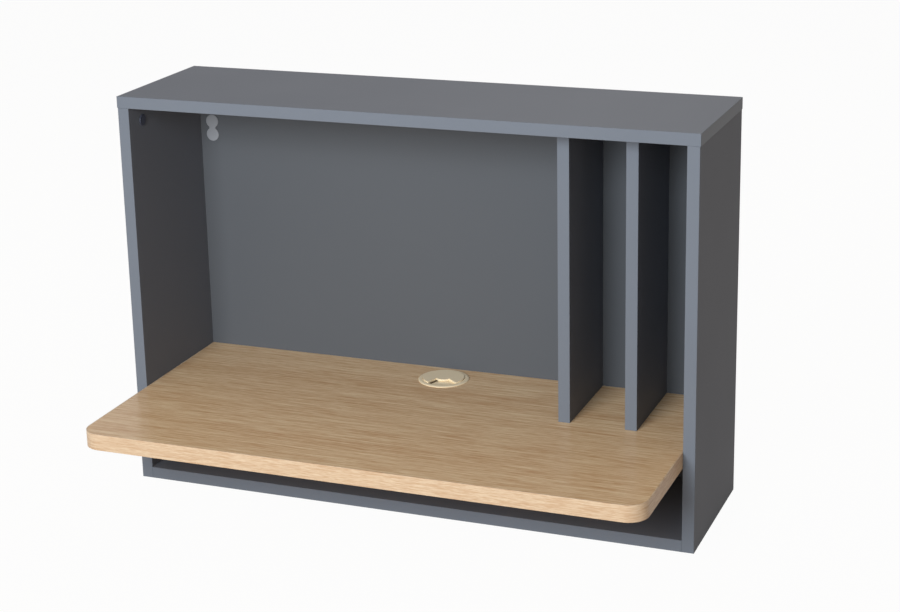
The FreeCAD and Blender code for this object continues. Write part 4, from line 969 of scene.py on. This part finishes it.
for name, corners, step, values in (
        ("cam_bolts", BOLT, 0.3, {"Turns Per Metre": 500.0}),
        ("divider_screws", WOOD_SCREW, 0.35, {"Turns Per Metre": 420.0, "Recess Depth": 0.0018}),
        ("hanger_screws", PAN_SCREW, 0.3, {"Turns Per Metre": 550.0, "Recess Depth": 0.0009}),
        ("left_depth_screw", DEPTH_SCREW, 0.16, DEPTH_THREAD),
        ("right_depth_screw", DEPTH_SCREW, 0.16, DEPTH_THREAD),
        ("wooden_dowels", DOWEL, 4.0, {"Starts": 20, "Sides": 80})):
    report(turned(name, corners, step, **values))

# %% [markdown]
# The hangers are pressed from sheet steel, and tumbled so that no edge is sharp. The same rounding
# that the outlet has, with a smaller radius, gives them that, and the cams in the boards too.
# %% Soften the hangers and the cams
STEEL_ROUND = 0.00015
STEEL_PIECES = ("hanger_housing", "hanger_hook", "wall_plate", "height_slide", "height_pinion",
                "cam_fittings")
for name in nodes:
    if name.endswith(STEEL_PIECES):
        report(rounded(name, STEEL_ROUND))

# %% [markdown]
# The studio is a white room: a big soft lamp in front and a little to the left, a weaker one beside
# it on the right, and one behind and above, which lights the tops of the boards. The world looks
# white to the camera and in reflections but gives only a gentle, warm fill light. The floor is
# pale, shows as white to the camera and keeps a trace of the desk's shadow.
# %% Stage and light
FILL = 0.22
FILL_COLOUR = (1.0, 0.82, 0.64, 1.0)
FLOOR_HALF = 6.0
FLOOR_WHITE = 0.965
FLOOR_DARK, FLOOR_LIGHT = paint(200, 190, 180), paint(204, 194, 184)


def seen_rays(tree):
    """One for the rays that see a surface or its mirror image, and zero for those that light."""
    path = tree.nodes.new("ShaderNodeLightPath").outputs
    mirrored = math_node(tree, "MAXIMUM", path["Is Glossy Ray"], path["Is Transmission Ray"])
    return math_node(tree, "MAXIMUM", path["Is Camera Ray"], mirrored)


def make_world():
    world = bpy.data.worlds.new("white_studio")
    bpy.context.scene.world = world
    world.use_nodes = True
    tree = world.node_tree
    tree.nodes.clear()
    seen = seen_rays(tree)
    strength = math_node(tree, "MULTIPLY_ADD", seen, 1.0 - FILL, FILL)
    colour = blend_colour(tree, seen, FILL_COLOUR, WHITE)
    sky = add(tree, "ShaderNodeBackground", {"Color": colour, "Strength": strength})
    add(tree, "ShaderNodeOutputWorld", {0: sky.outputs[0]})


def make_floor_material():
    material = bpy.data.materials.new("studio_floor")
    material.use_nodes = True
    tree = material.node_tree
    tree.nodes.clear()
    grain = add(tree, "ShaderNodeTexNoise", {"Scale": 3.0}).outputs[0]
    pale = blend_colour(tree, grain, FLOOR_DARK, FLOOR_LIGHT)
    matt = add(tree, "ShaderNodeBsdfDiffuse", {"Color": pale}).outputs[0]
    white = add(tree, "ShaderNodeEmission", {"Color": WHITE, "Strength": 1.0}).outputs[0]
    share = math_node(tree, "MULTIPLY", seen_rays(tree), FLOOR_WHITE)
    both = add(tree, "ShaderNodeMixShader", {0: share, 1: matt, 2: white})
    add(tree, "ShaderNodeOutputMaterial", {0: both.outputs[0]})
    return material


def make_floor():
    mesh = bpy.data.meshes.new("studio_floor")
    corners = [(x * FLOOR_HALF, y * FLOOR_HALF, 0) for x, y in ((-1, -1), (1, -1), (1, 1), (-1, 1))]
    mesh.from_pydata(corners, [], [(0, 1, 2, 3)])
    mesh.materials.append(make_floor_material())
    floor = bpy.data.objects.new("studio_floor", mesh)
    bpy.context.scene.collection.objects.link(floor)


LAMP_TARGET = Vector((0.0, 0.0, 0.3))
LAMP_DISTANCE = 3.2
LAMP_SIZE = 1.2
LAMPS = (("key_lamp", -6.0, 20.0, 67.0, (0.96, 1.0, 1.03)),
         ("front_lamp", 8.0, 24.0, 34.0, (0.9, 1.0, 1.07)),
         ("rear_lamp", 188.0, 45.0, 32.0, (1.01, 1.0, 0.98)))


def make_lamp(name, azimuth, height, power, colour):
    """A square soft lamp; its azimuth counts in degrees from straight in front to the right."""
    data = bpy.data.lights.new(name, "AREA")
    data.shape = "SQUARE"
    data.size = LAMP_SIZE
    data.energy = power
    data.color = colour
    turn, lift = math.radians(azimuth), math.radians(height)
    level = math.cos(lift)
    way = Vector((math.sin(turn) * level, -math.cos(turn) * level, math.sin(lift)))
    lamp = bpy.data.objects.new(name, data)
    bpy.context.scene.collection.objects.link(lamp)
    lamp.location = LAMP_TARGET + LAMP_DISTANCE * way
    lamp.rotation_euler = way.to_track_quat("Z", "Y").to_euler()


make_world()
make_floor()
for lamp in LAMPS:
    make_lamp(*lamp)
print("studio with", len(LAMPS), "lamps")

# %% [markdown]
# The camera stands to the right of the desk and a little above it, as one looks at a cabinet on a
# table, with a long lens so that the boards stay nearly parallel. Its picture is shifted a little,
# which moves the desk in the frame without turning the camera.
# %% Camera
CAMERA_PLACE = (1.08407, -2.56996, 1.22896)
CAMERA_TURNS = (73.38893, 1.25205, 21.40316)
SENSOR_WIDTH, LENS = 36.0, 79.284
SHIFT_X, SHIFT_Y = 0.013085, -0.054009


def make_camera():
    data = bpy.data.cameras.new("camera")
    data.sensor_width = SENSOR_WIDTH
    data.lens = LENS
    data.shift_x = SHIFT_X
    data.shift_y = SHIFT_Y
    camera = bpy.data.objects.new("camera", data)
    bpy.context.scene.collection.objects.link(camera)
    camera.location = CAMERA_PLACE
    camera.rotation_euler = [math.radians(turn) for turn in CAMERA_TURNS]
    return camera


bpy.context.scene.camera = make_camera()
bpy.context.scene.view_settings.view_transform = "Standard"
print("lens", round(LENS, 2), "mm")
